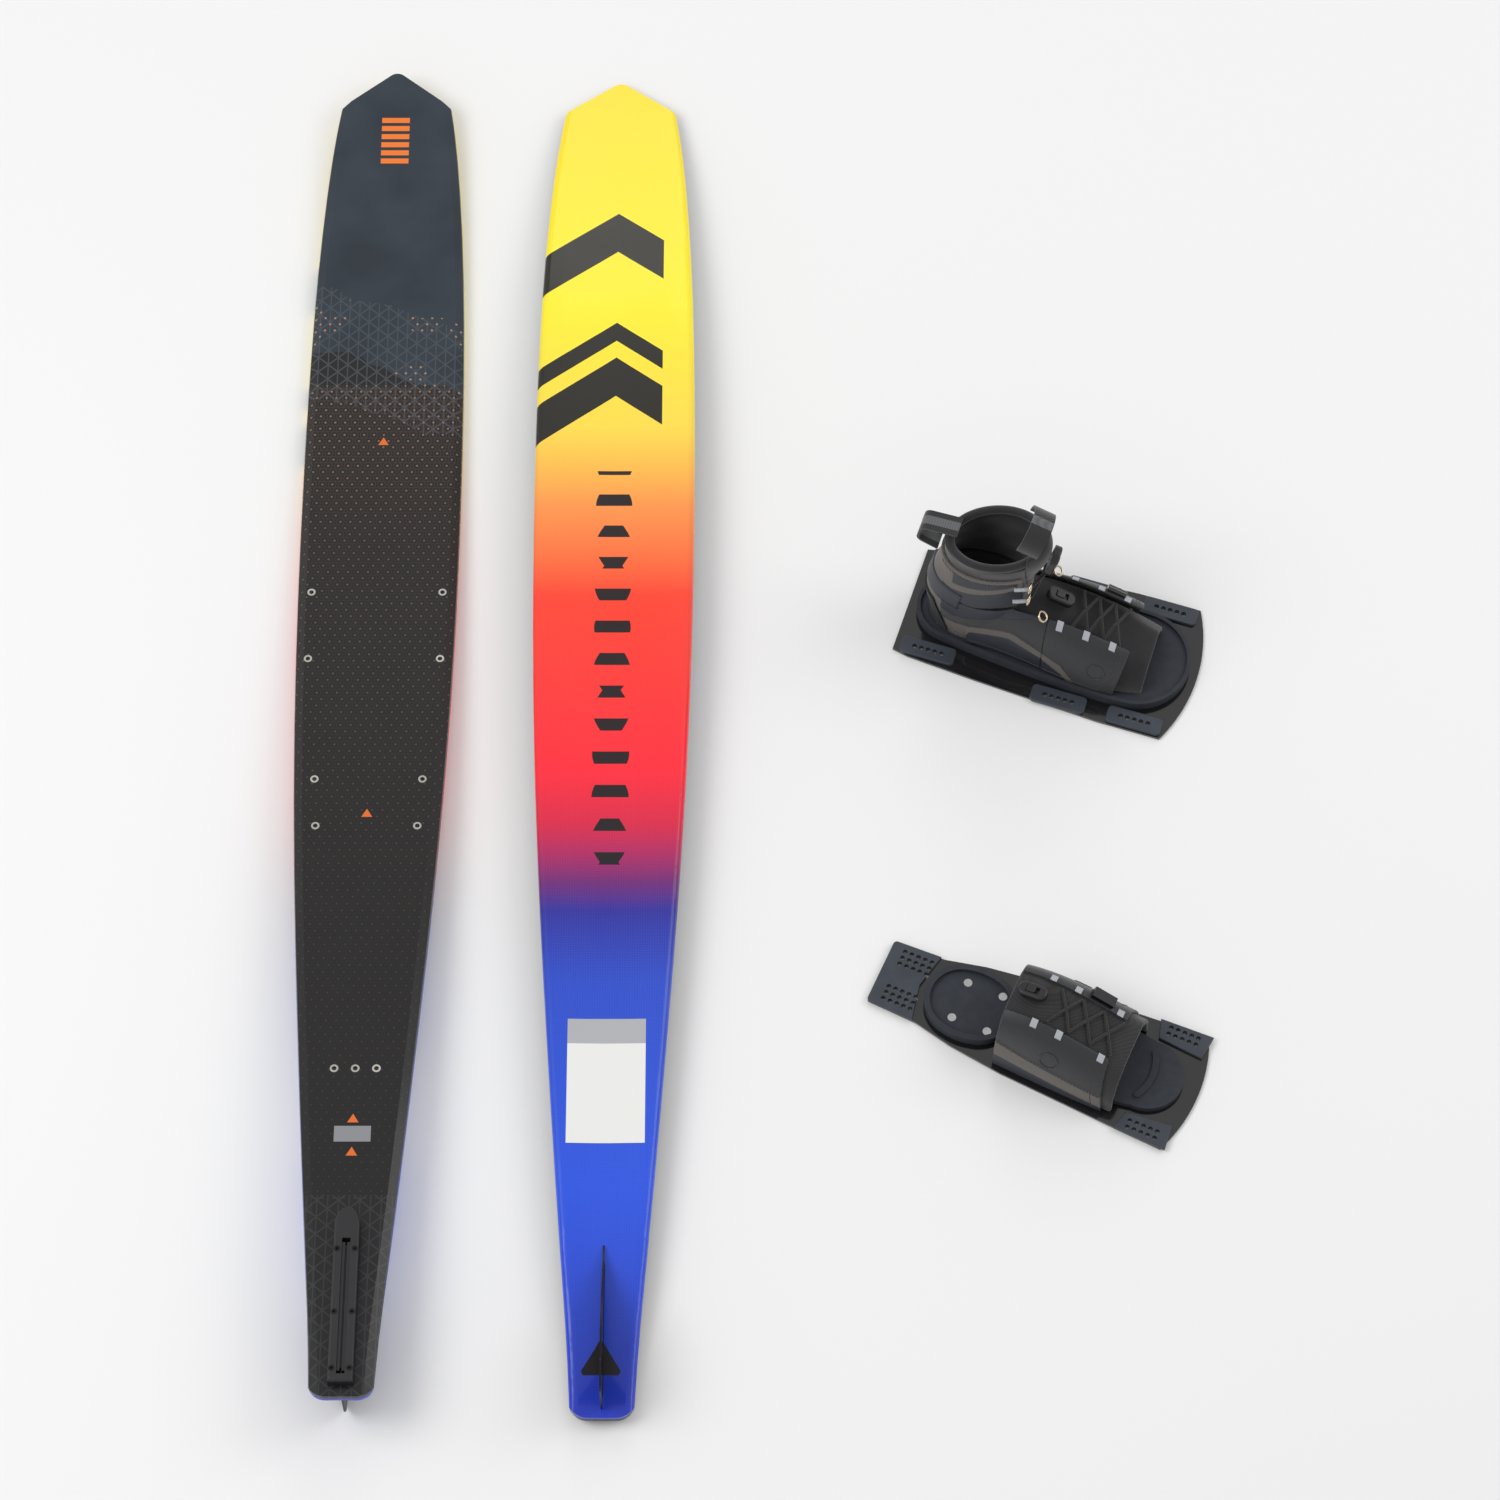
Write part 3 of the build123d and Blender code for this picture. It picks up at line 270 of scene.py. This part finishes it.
def deck_material(name, centre):
    m = Mat(name, (0.02, 0.02, 0.025), 0.34, coat=0.2, spec=0.35)
    x, y, _z = m.coords((centre, -SKI_LENGTH / 2, 0))
    fade = m.noise(14, 2)

    def lattice(ox, oy):
        u = ((x + ox) / CELL_X).fract() - 0.5
        v = ((y + oy) / CELL_Y).fract() - 0.5
        return (u * u * (CELL_X ** 2) + v * v * (CELL_Y ** 2)).sqrt()

    near = lattice(0, 0).min(lattice(CELL_X / 2, CELL_Y / 2))
    dots = near.below(DOT_R)
    arcs = band(near, ARC_INNER, ARC_OUTER)
    copper = m.ramp(y / SKI_LENGTH, [(0.0, (0.016, 0.011, 0.008)), (0.35, (0.035, 0.020, 0.013)),
                                     (0.62, (0.11, 0.058, 0.032)), (0.80, (0.32, 0.17, 0.10))])
    copper_zone = band(y, COPPER_FROM, COPPER_TO)
    # honeycomb cell walls
    hx, hy = x / CELL_X, y / HONEYCOMB_Y
    cell = (hx.fract() - 0.5).abs().max(((hx * 0.5 + hy * 0.5).fract() - 0.5).abs()).max(
        ((hx * 0.5 - hy * 0.5).fract() - 0.5).abs())
    walls = cell.above(0.44)
    navy = m.ramp(fade, [(0.3, linear(30, 40, 50)), (0.7, linear(45, 55, 65))])
    tip_edge = y + (x * TIP_RAKE) + fade * 0.05
    tip = tip_edge.above(TIP_FROM)
    color = m.mix(tip, (0.006, 0.006, 0.007), navy)
    color = m.mix(walls * band(tip_edge, 1.21, 1.36) * 0.75, color, (0.055, 0.065, 0.08))
    color = m.mix(walls * y.below(TAIL_HONEYCOMB_TO) * 0.6, color, (0.035, 0.036, 0.04))
    color = m.mix((dots + arcs * 0.40).min(1.0) * copper_zone * tip.inv(), color, copper)
    stray = dots * band(tip_edge, TIP_FROM, 1.37) * fade.above(0.55)
    color = m.mix(stray, color, (0.36, 0.20, 0.12))
    # small generic marks: orange bars near the tip, triangles and a blank grey tag
    bars = x.abs().below(0.016) * band(y, 1.528, 1.594) * ((y / BAR_PITCH).fract().below(0.62))
    color = m.mix(bars, color, (0.85, 0.19, 0.02))
    for cy in TRIANGLE_YS:
        triangle = (x.abs() * 1.7 + (y - cy)).below(0.006) * (y - cy).above(-0.004)
        color = m.mix(triangle * 0.9, color, (0.80, 0.16, 0.02))
    tag = x.abs().below(0.019) * band(y, 0.286, 0.304)
    color = m.mix(tag * 0.8, color, (0.30, 0.31, 0.33))
    m.color(color)
    m.rough(m.noise(22, 3) * 0.12 + 0.26)
    m.bump(weave(x, y, DECK_WEAVE), 0.10, 0.0002)
    return m.mat


# ---------------------------------------------------------------- plain finishes
def plain(name, color, rough, metal=0.0, coat=0.0, sheen=0.0, grain=220, depth=0.15, spread=0.1):
    m = Mat(name, color, rough, metal, coat, sheen)
    fine = m.noise(grain, 4)
    m.rough(m.noise(grain * 0.15, 2) * spread + (rough - spread / 2))
    darker, lighter = tuple(c * 0.86 for c in color), tuple(c * 1.14 for c in color)
    m.color(m.ramp(m.noise(grain * 0.1, 2), [(0.3, darker), (0.7, lighter)]))
    m.bump(fine, depth, 0.0003)
    return m.mat


def woven(name, color, rough, pitch, place=BOOT_AT, yaw=BOOT_YAW, sheen=0.15, depth=0.35):
    m = Mat(name, color, rough, sheen=sheen)
    x, y, z = m.coords((*place, 0), yaw)
    height = weave(x + y * 0.4, z + y * 0.3, pitch)
    # painted shade and highlight: the weave's low threads are darkened and its raised threads lightened, as
    # shaded and lit copies of the one colour
    m.color(m.mix(height, tuple(c * 0.62 for c in color), tuple(c * 1.28 for c in color)))
    m.rough(height * -0.14 + (rough + 0.07))
    m.bump(height + m.noise(300, 2) * 0.4, depth, 0.0004)
    return m.mat


WEBBING_RIB, WEBBING_STRIPE_HALF, HEEL_RIB = 0.0016, 0.0052, 0.0042


def webbing(name, place, yaw):
    m = Mat(name, (0.03, 0.03, 0.033), 0.75, sheen=0.4)
    x, y, z = m.coords((*place, 0), yaw)
    ribs = ((z + x * 0.5) / WEBBING_RIB * math.tau).sin() * 0.5 + 0.5
    stripe = y.abs().below(WEBBING_STRIPE_HALF)
    color = m.mix(stripe, (0.010, 0.010, 0.011), (0.115, 0.12, 0.125))
    m.color(m.mix(ribs * 0.35, color, (0.004, 0.004, 0.004)))
    m.bump(ribs, 0.5, 0.0004)
    return m.mat


def ribbed(name, color):
    m = Mat(name, color, 0.55)
    _x, _y, z = m.coords((*BOOT_AT, 0), BOOT_YAW)
    ribs = (z / HEEL_RIB * math.tau).sin() * 0.5 + 0.5
    # painted shade: the grooves between the ribs are darkened to 0.4 of the colour
    m.color(m.mix(ribs, tuple(c * 0.4 for c in color), color))
    m.bump(ribs, 0.8, 0.0012)
    return m.mat


LEATHER_BLACK, LEATHER_TAUPE, LEATHER_WEAVE = (0.017, 0.018, 0.021), (0.105, 0.092, 0.083), 0.0026
FINISH = {
    "insert_metal": plain("insert_metal", (0.62, 0.61, 0.58), 0.28, 1.0, grain=500),
    "black_screw": plain("black_screw", (0.02, 0.02, 0.022), 0.35, 0.7),
    "fin_block": plain("fin_block", (0.012, 0.012, 0.014), 0.42),
    "steel": plain("steel", (0.55, 0.55, 0.56), 0.26, 1.0, grain=500),
    "fin": plain("fin", (0.02, 0.02, 0.023), 0.32, 0.8, grain=350),
    "slate": plain("slate", (0.034, 0.042, 0.056), 0.46, grain=420),
    "plate": plain("plate", (0.006, 0.006, 0.007), 0.13, coat=0.9, depth=0.03, spread=0.06),
    "eva": plain("eva", (0.022, 0.026, 0.036), 0.78, grain=900, depth=0.35),
    "lock": plain("lock", (0.012, 0.012, 0.014), 0.36, grain=400),
    "gloss": plain("gloss", (0.008, 0.008, 0.010), 0.10, coat=0.8, depth=0.03),
    "guide": woven("guide", (0.42, 0.44, 0.47), 0.55, 0.0010),
    "ring": plain("ring", (0.72, 0.58, 0.42), 0.20, 1.0, grain=500, depth=0.05),
    "lace": plain("lace", (0.010, 0.010, 0.011), 0.82, sheen=0.3, grain=1400, depth=0.5),
    "foam": plain("foam", (0.70, 0.62, 0.44), 0.8, grain=700),
    "black_leather": woven("black_leather", LEATHER_BLACK, 0.46, LEATHER_WEAVE),
    "taupe": woven("taupe", LEATHER_TAUPE, 0.58, LEATHER_WEAVE),
    "navy": plain("navy", (0.022, 0.026, 0.037), 0.50, grain=260),
    "neoprene": plain("neoprene", (0.011, 0.011, 0.013), 0.88, sheen=0.35, grain=1200, depth=0.3),
    "lining": plain("lining", (0.007, 0.007, 0.008), 0.92, sheen=0.4, grain=900, depth=0.3),
    "heel": ribbed("heel", (0.030, 0.036, 0.042)),
    "toe_leather": woven("toe_leather", LEATHER_BLACK, 0.46, LEATHER_WEAVE, TOE_AT, TOE_YAW),
    "toe_taupe": woven("toe_taupe", LEATHER_TAUPE, 0.58, LEATHER_WEAVE, TOE_AT, TOE_YAW),
    "toe_mesh": woven("toe_mesh", (0.015, 0.015, 0.017), 0.80, 0.0034, TOE_AT, TOE_YAW, 0.3, 0.5),
    "webbing": webbing("webbing", BOOT_AT, BOOT_YAW),
    "thread": plain("thread", (0.055, 0.052, 0.050), 0.7, grain=1500),
    "emboss": plain("emboss", (0.026, 0.028, 0.033), 0.34, grain=300),
}
NODE_FINISH = (
    ("foam_core", "foam"), ("inserts", "insert_metal"), ("clamp_jaws", "lock"),
    ("block_screws", "black_screw"), ("fin_block", "fin_block"), ("wing_screws", "steel"),
    ("wing", "fin"), ("_fin", "fin"), ("sole_screws", "steel"), ("toe_screws", "steel"),
    ("plate_rails", "slate"), ("plate_rear_end", "slate"), ("front_corners", "slate"),
    ("_plate", "plate"), ("footbed", "eva"), ("_pad", "eva"), ("heel_rubber", "heel"),
    ("rings", "ring"), ("loop", "webbing"), ("guides", "guide"), ("lock", "lock"),
    ("lace_tube", "gloss"), ("finger_tab", "gloss"), ("lace", "lace"), ("collar", "neoprene"),
    ("tongue", "neoprene"), ("toe_liner", "toe_mesh"), ("liner", "neoprene"),
    ("toe_overlay", "black_leather"), ("quarter", "black_leather"), ("cuff", "black_leather"),
)
skins = {
    "ski_a_deck_laminate": deck_material("deck_a", SKI_A_X),
    "ski_b_deck_laminate": deck_material("deck_b", SKI_B_X),
    "ski_a_base_laminate": base_material("base_a", SKI_A_X),
    "ski_b_base_laminate": base_material("base_b", SKI_B_X),
}
for name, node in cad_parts.items():
    finish = skins.get(name) or FINISH[next(f for key, f in NODE_FINISH if key in name)]
    node.data.materials.clear()
    node.data.materials.append(finish)


# ---------------------------------------------------------------- soft pieces
def apply_modifiers(obj):
    graph = bpy.context.evaluated_depsgraph_get()
    mesh = bpy.data.meshes.new_from_object(obj.evaluated_get(graph))
    obj.modifiers.clear()
    obj.data = mesh


def soften(node, name, voxel, rounds, finishes, choose=None, wrinkle=0.0, place=BOOT):
    """A rounded, slightly uneven copy of a CAD solid that is shown in its place."""
    obj = bpy.data.objects.new(name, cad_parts[node].data.copy())
    bpy.context.collection.objects.link(obj)
    remesh = obj.modifiers.new("remesh", "REMESH")
    remesh.mode = "VOXEL"
    remesh.voxel_size = voxel
    smooth = obj.modifiers.new("smooth", "SMOOTH")
    smooth.factor, smooth.iterations = 0.5, rounds
    apply_modifiers(obj)
    back = place.inverted()
    if wrinkle:
        spots = [v.co.copy() for v in obj.data.vertices]
        normals = [v.normal.copy() for v in obj.data.vertices]
        moved = []
        for spot, normal in zip(spots, normals):
            p = back @ spot
            wave = math.sin(p.z * 210 + math.sin(p.x * 60) * 1.6) * math.sin(p.x * 95 + p.y * 40)
            moved.extend(spot + normal * (wave * wrinkle))
        obj.data.vertices.foreach_set("co", moved)
        obj.data.update()
    obj.data.materials.clear()
    for finish in finishes:
        obj.data.materials.append(FINISH[finish])
    for face in obj.data.polygons:
        face.use_smooth = True
        face.material_index = choose(back @ face.center) if choose else 0
    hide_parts(node)
    return obj


def line_z(x, points):
    """Height at x of a line through points, level beyond its ends."""
    if x <= points[0][0]:
        return points[0][1]
    for (xa, za), (xb, zb) in zip(points, points[1:]):
        if x <= xb:
            return za + (x - xa) / (xb - xa) * (zb - za)
    return points[-1][1]


# panel outlines in the side view, as x and z on the boot; a panel is 0 black, 1 taupe or 2 navy
CUFF_TAUPE_LOW = [(0.015, 0.113), (0.057, 0.130), (0.099, 0.147)]
INSET_TOP, INSET_LOW = [(0.018, 0.148), (0.086, 0.162)], [(0.014, 0.125), (0.084, 0.152)]
BAND_TOP = [
    (0.000, 0.037), (0.031, 0.045), (0.073, 0.057), (0.088, 0.060), (0.112, 0.051), (0.147, 0.038),
    (0.162, 0.017),
]
BAND_LOW = [(0.037, 0.031), (0.041, 0.038), (0.085, 0.049), (0.124, 0.036), (0.148, 0.021), (0.155, 0.012)]
FOOT_SEAM = [(0.019, 0.058), (0.057, 0.069), (0.119, 0.093)]


def cuff_panel(p):
    if p.x < 0.004:
        return 1
    if p.z < line_z(p.x, CUFF_TAUPE_LOW):
        return 2
    inside = 0.016 < p.x < 0.088 and line_z(p.x, INSET_LOW) < p.z < line_z(p.x, INSET_TOP)
    return 2 if inside else 1


def quarter_panel(p):
    if p.x < 0.004:
        return 1
    if p.x > 0.162:
        return 0
    if 0.037 < p.x < 0.155 and p.z < line_z(p.x, BAND_LOW):
        return 2
    if p.z < line_z(p.x, BAND_TOP):
        return 1
    return 2 if p.z > line_z(p.x, FOOT_SEAM) else 0


def toe_panel(p):
    low = line_z(p.x, [(0.110, 0.030), (0.240, 0.012)])
    high = line_z(p.x, [(0.110, 0.052), (0.240, 0.030)])
    return 2 if p.z < low else (1 if p.z < high else 0)


LEATHERS = ("black_leather", "taupe", "navy")
CUFF_VOXEL, OVERLAY_VOXEL, SOFT_VOXEL = 0.0012, 0.0011, 0.0015
LEATHER_WRINKLE, SOFT_WRINKLE = 0.0001, 0.0003
quarter = soften("boot_quarter", "boot_quarter_skin", CUFF_VOXEL, 3, LEATHERS, quarter_panel, LEATHER_WRINKLE)
cuff = soften("boot_cuff", "boot_cuff_skin", CUFF_VOXEL, 3, LEATHERS, cuff_panel, LEATHER_WRINKLE)
for side in ("left", "right"):
    skin = soften(f"boot_toe_overlay_{side}", f"boot_overlay_{side}_skin", OVERLAY_VOXEL, 3,
                  LEATHERS, quarter_panel)
    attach(skin, "root")
    toe_skin = soften(f"toe_overlay_{side}", f"toe_overlay_{side}_skin", OVERLAY_VOXEL, 3,
                      ("toe_leather", "toe_taupe", "navy"), toe_panel, place=TOE)
    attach(toe_skin, "root")
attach(quarter, "root")
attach(cuff, "boot_cuff")
liner = soften("boot_liner", "boot_liner_soft", SOFT_VOXEL, 5, ("neoprene",), wrinkle=SOFT_WRINKLE)
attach(liner, "root")
collar = soften("boot_collar", "boot_collar_soft", SOFT_VOXEL, 6, ("neoprene",), wrinkle=SOFT_WRINKLE)
tongue = soften("boot_tongue", "boot_tongue_soft", SOFT_VOXEL, 6, ("neoprene",), wrinkle=SOFT_WRINKLE)
for piece in (collar, tongue):
    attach(piece, "boot_cuff")
toe_liner = soften("toe_liner", "toe_liner_soft", SOFT_VOXEL, 5, ("toe_mesh",),
                   wrinkle=SOFT_WRINKLE, place=TOE)
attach(toe_liner, "root")


# ---------------------------------------------------------------- swept pieces
def tube(name, points, radius, finish, body, closed=False, place=BOOT):
    curve = bpy.data.curves.new(name, "CURVE")
    curve.dimensions = "3D"
    curve.bevel_depth, curve.bevel_resolution, curve.resolution_u = radius, 4, 8
    curve.use_fill_caps = True
    spline = curve.splines.new("NURBS")
    spline.points.add(len(points) - 1)
    for slot, point in zip(spline.points, points):
        slot.co = (*(place @ Vector(point)), 1)
    spline.order_u = 3
    spline.use_cyclic_u = closed
    spline.use_endpoint_u = not closed
    obj = bpy.data.objects.new(name, curve)
    bpy.context.collection.objects.link(obj)
    curve.materials.append(FINISH[finish])
    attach(obj, body)
    return obj


# the shaft outline at rising heights: height, centre x, half length, half width
SHAFT = [(0.011, 0.037, 0.054, 0.035), (0.050, 0.039, 0.056, 0.038), (0.084, 0.041, 0.060, 0.040),
         (0.110, 0.044, 0.057, 0.041), (0.146, 0.050, 0.056, 0.043), (0.202, 0.057, 0.055, 0.045)]


def shaft_point(angle, z, inset):
    """A point on the shaft's outline at a height, inset from the shell's outside; angle 0 is the toe side."""
    for low, high in zip(SHAFT, SHAFT[1:]):
        if z <= high[0] or high is SHAFT[-1]:
            share = (z - low[0]) / (high[0] - low[0])
            cx, hl, hw = (low[k] + share * (high[k] - low[k]) for k in (1, 2, 3))
            return (cx + (hl - inset) * math.cos(angle), (hw - inset) * math.sin(angle), z)


def rim_z(angle, back, front, lift):
    """Height of a sloping rim at an angle, between its back and front heights."""
    share = (1 + math.cos(angle)) / 2
    return back + share * (front - back) + lift


ROLL_R, ROLL_INSET, ROLL_LIFT, ROLL_POINTS = 0.0048, 0.0062, -0.0015, 64
ROLL_BACK_Z, ROLL_FRONT_Z = 0.168, 0.197
rim = []
for k in range(ROLL_POINTS):
    angle = math.tau * k / ROLL_POINTS
    rim.append(shaft_point(angle, rim_z(angle, ROLL_BACK_Z, ROLL_FRONT_Z, ROLL_LIFT), ROLL_INSET))
tube("boot_collar_roll", rim, ROLL_R, "neoprene", "boot_cuff", closed=True)


FULL_TURN = 6.2


def sleeve(name, low, high, inset, thick, finish, turns=72, steps=10, span=(0, math.tau)):
    """A soft sleeve round the shaft."""
    mesh, bm = bpy.data.meshes.new(name), bmesh.new()
    rings = []
    swept = span[1] - span[0]
    closed = swept > FULL_TURN
    count = turns if closed else turns + 1
    for j in range(steps + 1):
        z = low + (high - low) * j / steps
        bulge = math.sin(math.pi * j / steps) * 0.0004
        spots = [shaft_point(span[0] + swept * k / turns, z, inset - bulge) for k in range(count)]
        rings.append([bm.verts.new(BOOT @ Vector(spot)) for spot in spots])
    for lower, upper in zip(rings, rings[1:]):
        for k in range(turns):
            n = (k + 1) % count
            bm.faces.new((lower[k], lower[n], upper[n], upper[k]))
    bmesh.ops.recalc_face_normals(bm, faces=bm.faces)
    bm.to_mesh(mesh)
    bm.free()
    obj = bpy.data.objects.new(name, mesh)
    bpy.context.collection.objects.link(obj)
    solid = obj.modifiers.new("solid", "SOLIDIFY")
    solid.thickness, solid.offset = thick, -1
    apply_modifiers(obj)
    obj.data.materials.append(FINISH[finish])
    for face in obj.data.polygons:
        face.use_smooth = True
    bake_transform(obj)
    return obj


HEEL_SPAN = (math.radians(105), math.radians(255))
sleeve("boot_ankle_gaiter", 0.080, 0.116, 0.0046, 0.0015, "neoprene")
sleeve("boot_heel_patch", 0.078, 0.110, -0.0008, 0.0009, "navy", 40, 8, HEEL_SPAN)

# ---------------------------------------------------------------- stitching and marks
BOOT_UPPER = ("boot_cuff", "boot_quarter", "boot_toe_overlay_left", "boot_toe_overlay_right")
TOE_UPPER = ("toe_overlay_left", "toe_overlay_right")


def surface_tree(nodes):
    verts, faces = [], []
    for obj in (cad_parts[n] for n in nodes):
        offset = len(verts)
        verts += [v.co.copy() for v in obj.data.vertices]
        faces += [[offset + k for k in f.vertices] for f in obj.data.polygons]
    return BVHTree.FromPolygons(verts, faces)


BOOT_SKIN, TOE_SKIN = surface_tree(BOOT_UPPER), surface_tree(TOE_UPPER)


def onto(x, z, side, tree, place):
    """Where a side view's point lands on the upper: place and outward normal."""
    start = place @ Vector((x, side * 0.2, z))
    heading = (place.to_3x3() @ Vector((0, -side, 0))).normalized()
    spot, normal, _face, _far = tree.ray_cast(start, heading)
    if spot is None or (place.inverted() @ spot).y * side < 0.012:
        return None
    if normal.dot(heading) > 0:
        normal = -normal
    return spot, normal


THREAD_R, STITCH_SHORTEST, STITCH_LONGEST = 0.00045, 0.0005, 0.006
STITCH_FACES = ((0, 3, 2, 1), (4, 5, 6, 7), (0, 1, 5, 4), (1, 2, 6, 5), (2, 3, 7, 6), (3, 0, 4, 7))


def stitches(name, lines, body, tree=BOOT_SKIN, place=BOOT, pitch=0.0036):
    """Short raised threads along lines drawn in the side view, on both sides."""
    mesh, bm = bpy.data.meshes.new(name), bmesh.new()
    for side in (-1, 1):
        for line in lines:
            for (xa, za), (xb, zb) in zip(line, line[1:]):
                count = max(1, int(math.hypot(xb - xa, zb - za) / pitch))
                for k in range(count):
                    ends = []
                    for share in ((k + 0.15) / count, (k + 0.80) / count):
                        ends.append(onto(xa + (xb - xa) * share, za + (zb - za) * share, side, tree, place))
                    if None in ends:
                        continue
                    (a, na), (b, _nb) = ends
                    ahead = b - a
                    if not STITCH_SHORTEST < ahead.length < STITCH_LONGEST:
                        continue
                    across = na.cross(ahead).normalized() * THREAD_R
                    up = na * THREAD_R
                    top = across * 0.5
                    ring = [bm.verts.new(p) for p in (
                        a - across, a + across, b + across, b - across,
                        a - top + up, a + top + up, b + top + up, b - top + up)]
                    for f in STITCH_FACES:
                        bm.faces.new([ring[i] for i in f])
    bm.to_mesh(mesh)
    bm.free()
    obj = bpy.data.objects.new(name, mesh)
    bpy.context.collection.objects.link(obj)
    mesh.materials.append(FINISH["thread"])
    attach(obj, body)
    return obj


def shifted(line, dz):
    return [(x, z + dz) for x, z in line]


CUFF_RIM = [(0.0, 0.1455), (0.085, 0.1622)]
stitches("boot_cuff_stitching", [
    CUFF_RIM, shifted(CUFF_RIM, -0.003), CUFF_TAUPE_LOW, [(0.087, 0.118), (0.087, 0.162)],
], "boot_cuff")
stitches("boot_quarter_stitching", [
    BAND_TOP, shifted(BAND_TOP, 0.003), BAND_LOW, [(0.018, 0.022), (0.162, 0.016)], FOOT_SEAM,
    [(0.195, 0.016), (0.207, 0.070)], [(0.198, 0.016), (0.210, 0.070)], [(0.128, 0.016), (0.192, 0.016)],
], "root")
stitches("toe_overlay_stitching", [
    [(0.112, 0.055), (0.238, 0.033)], [(0.112, 0.052), (0.238, 0.030)], [(0.120, 0.008), (0.236, 0.008)],
    [(0.232, 0.010), (0.224, 0.060)],
], "root", TOE_SKIN, TOE)


MARK_POINTS, MARK_R = 16, 0.010


def embossed(name, centre, radius, body, tree, place):
    """A raised plain ring on each side where the upper carries all of it."""
    for side, tag in ((-1, "right"), (1, "left")):
        points = []
        for k in range(MARK_POINTS):
            angle = math.tau * k / MARK_POINTS
            x, z = centre[0] + radius * math.cos(angle), centre[1] + radius * math.sin(angle)
            found = onto(x, z, side, tree, place)
            if found:
                points.append(place.inverted() @ (found[0] + found[1] * 0.0002))
        if len(points) == MARK_POINTS:
            tube(f"{name}_{tag}", points, 0.0008, "emboss", body, closed=True, place=place)


embossed("boot_overlay_mark", (0.186, 0.047), MARK_R, "root", BOOT_SKIN, BOOT)
embossed("toe_overlay_mark", (0.178, 0.056), MARK_R, "root", TOE_SKIN, TOE)

# ---------------------------------------------------------------- laces, in the boot's own axes
RINGS = [(0.1012, 0.0315, 0.128), (0.1016, 0.0315, 0.153)]
LACE_R, TAB_R = 0.0015, 0.0022
for row, (x, y, z) in enumerate(RINGS):
    for side, tag in ((-1, "right"), (1, "left")):
        tube(f"boot_ring_tab_{row}_{tag}", [
            (x - 0.016, side * (y + 0.0075), z), (x - 0.008, side * (y + 0.005), z),
            (x - 0.001, side * (y + 0.0015), z)], TAB_R, "guide", "boot_cuff")
a, b = RINGS
for side, tag in ((-1, "right"), (1, "left")):
    tube(f"boot_upper_lace_{tag}", [
        (a[0] + 0.002, side * 0.028, a[2]), (0.1065, side * 0.012, 0.135), (0.1085, 0, 0.1405),
        (0.1075, -side * 0.012, 0.146), (b[0] + 0.002, -side * 0.028, b[2])], LACE_R, "lace", "boot_cuff")
    tube(f"boot_lock_lace_{tag}", [
        (b[0] + 0.002, side * 0.028, b[2]), (0.1085, side * 0.018, 0.1535), (0.1125, side * 0.010, 0.156)],
        LACE_R, "lace", "boot_cuff")
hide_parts("boot_upper_lace")

# ---------------------------------------------------------------- floor, light and camera
floor_mesh = bpy.data.meshes.new("floor")
FLOOR_HALF = 9
floor_mesh.from_pydata([(x * FLOOR_HALF, y * FLOOR_HALF, 0) for x, y in ((-1, -1), (1, -1), (1, 1), (-1, 1))],
                       [], [(0, 1, 2, 3)])
floor = bpy.data.objects.new("floor", floor_mesh)
bpy.context.collection.objects.link(floor)
pale = Mat("floor_pale", (0.86, 0.86, 0.86), 0.75)
floor_mesh.materials.append(pale.mat)

world = bpy.data.worlds.new("studio")
bpy.context.scene.world = world
world.use_nodes = True
world.node_tree.nodes["Background"].inputs["Color"].default_value = (1, 1, 1, 1)
world.node_tree.nodes["Background"].inputs["Strength"].default_value = 0.66
bpy.context.scene.view_settings.view_transform = "Standard"
for name, at, size, power in (
    ("key", (-2.6, -0.6, 3.2), 2.4, 58),
    ("fill", (2.8, 0.4, 2.6), 2.2, 26),
    ("back", (0.2, 3.4, 2.2), 2.0, 16),
):
    light = bpy.data.lights.new(name, "AREA")
    light.shape, light.size, light.energy = "DISK", size, power
    lamp = bpy.data.objects.new(name, light)
    lamp.location = at
    lamp.rotation_euler = (-Vector(at)).to_track_quat("-Z", "Y").to_euler()
    bpy.context.collection.objects.link(lamp)

CAMERA_ELEVATION, CAMERA_AWAY, CAMERA_LENS = math.radians(62), 5.4, 120
camera = bpy.data.objects.new("camera", bpy.data.cameras.new("camera"))
camera.data.lens = CAMERA_LENS
aim = Vector((0, -0.066, 0.03))
camera.location = aim + Vector((0, -math.cos(CAMERA_ELEVATION), math.sin(CAMERA_ELEVATION))) * CAMERA_AWAY
camera.rotation_euler = (math.pi / 2 - CAMERA_ELEVATION, 0, 0)
bpy.context.collection.objects.link(camera)
bpy.context.scene.camera = camera
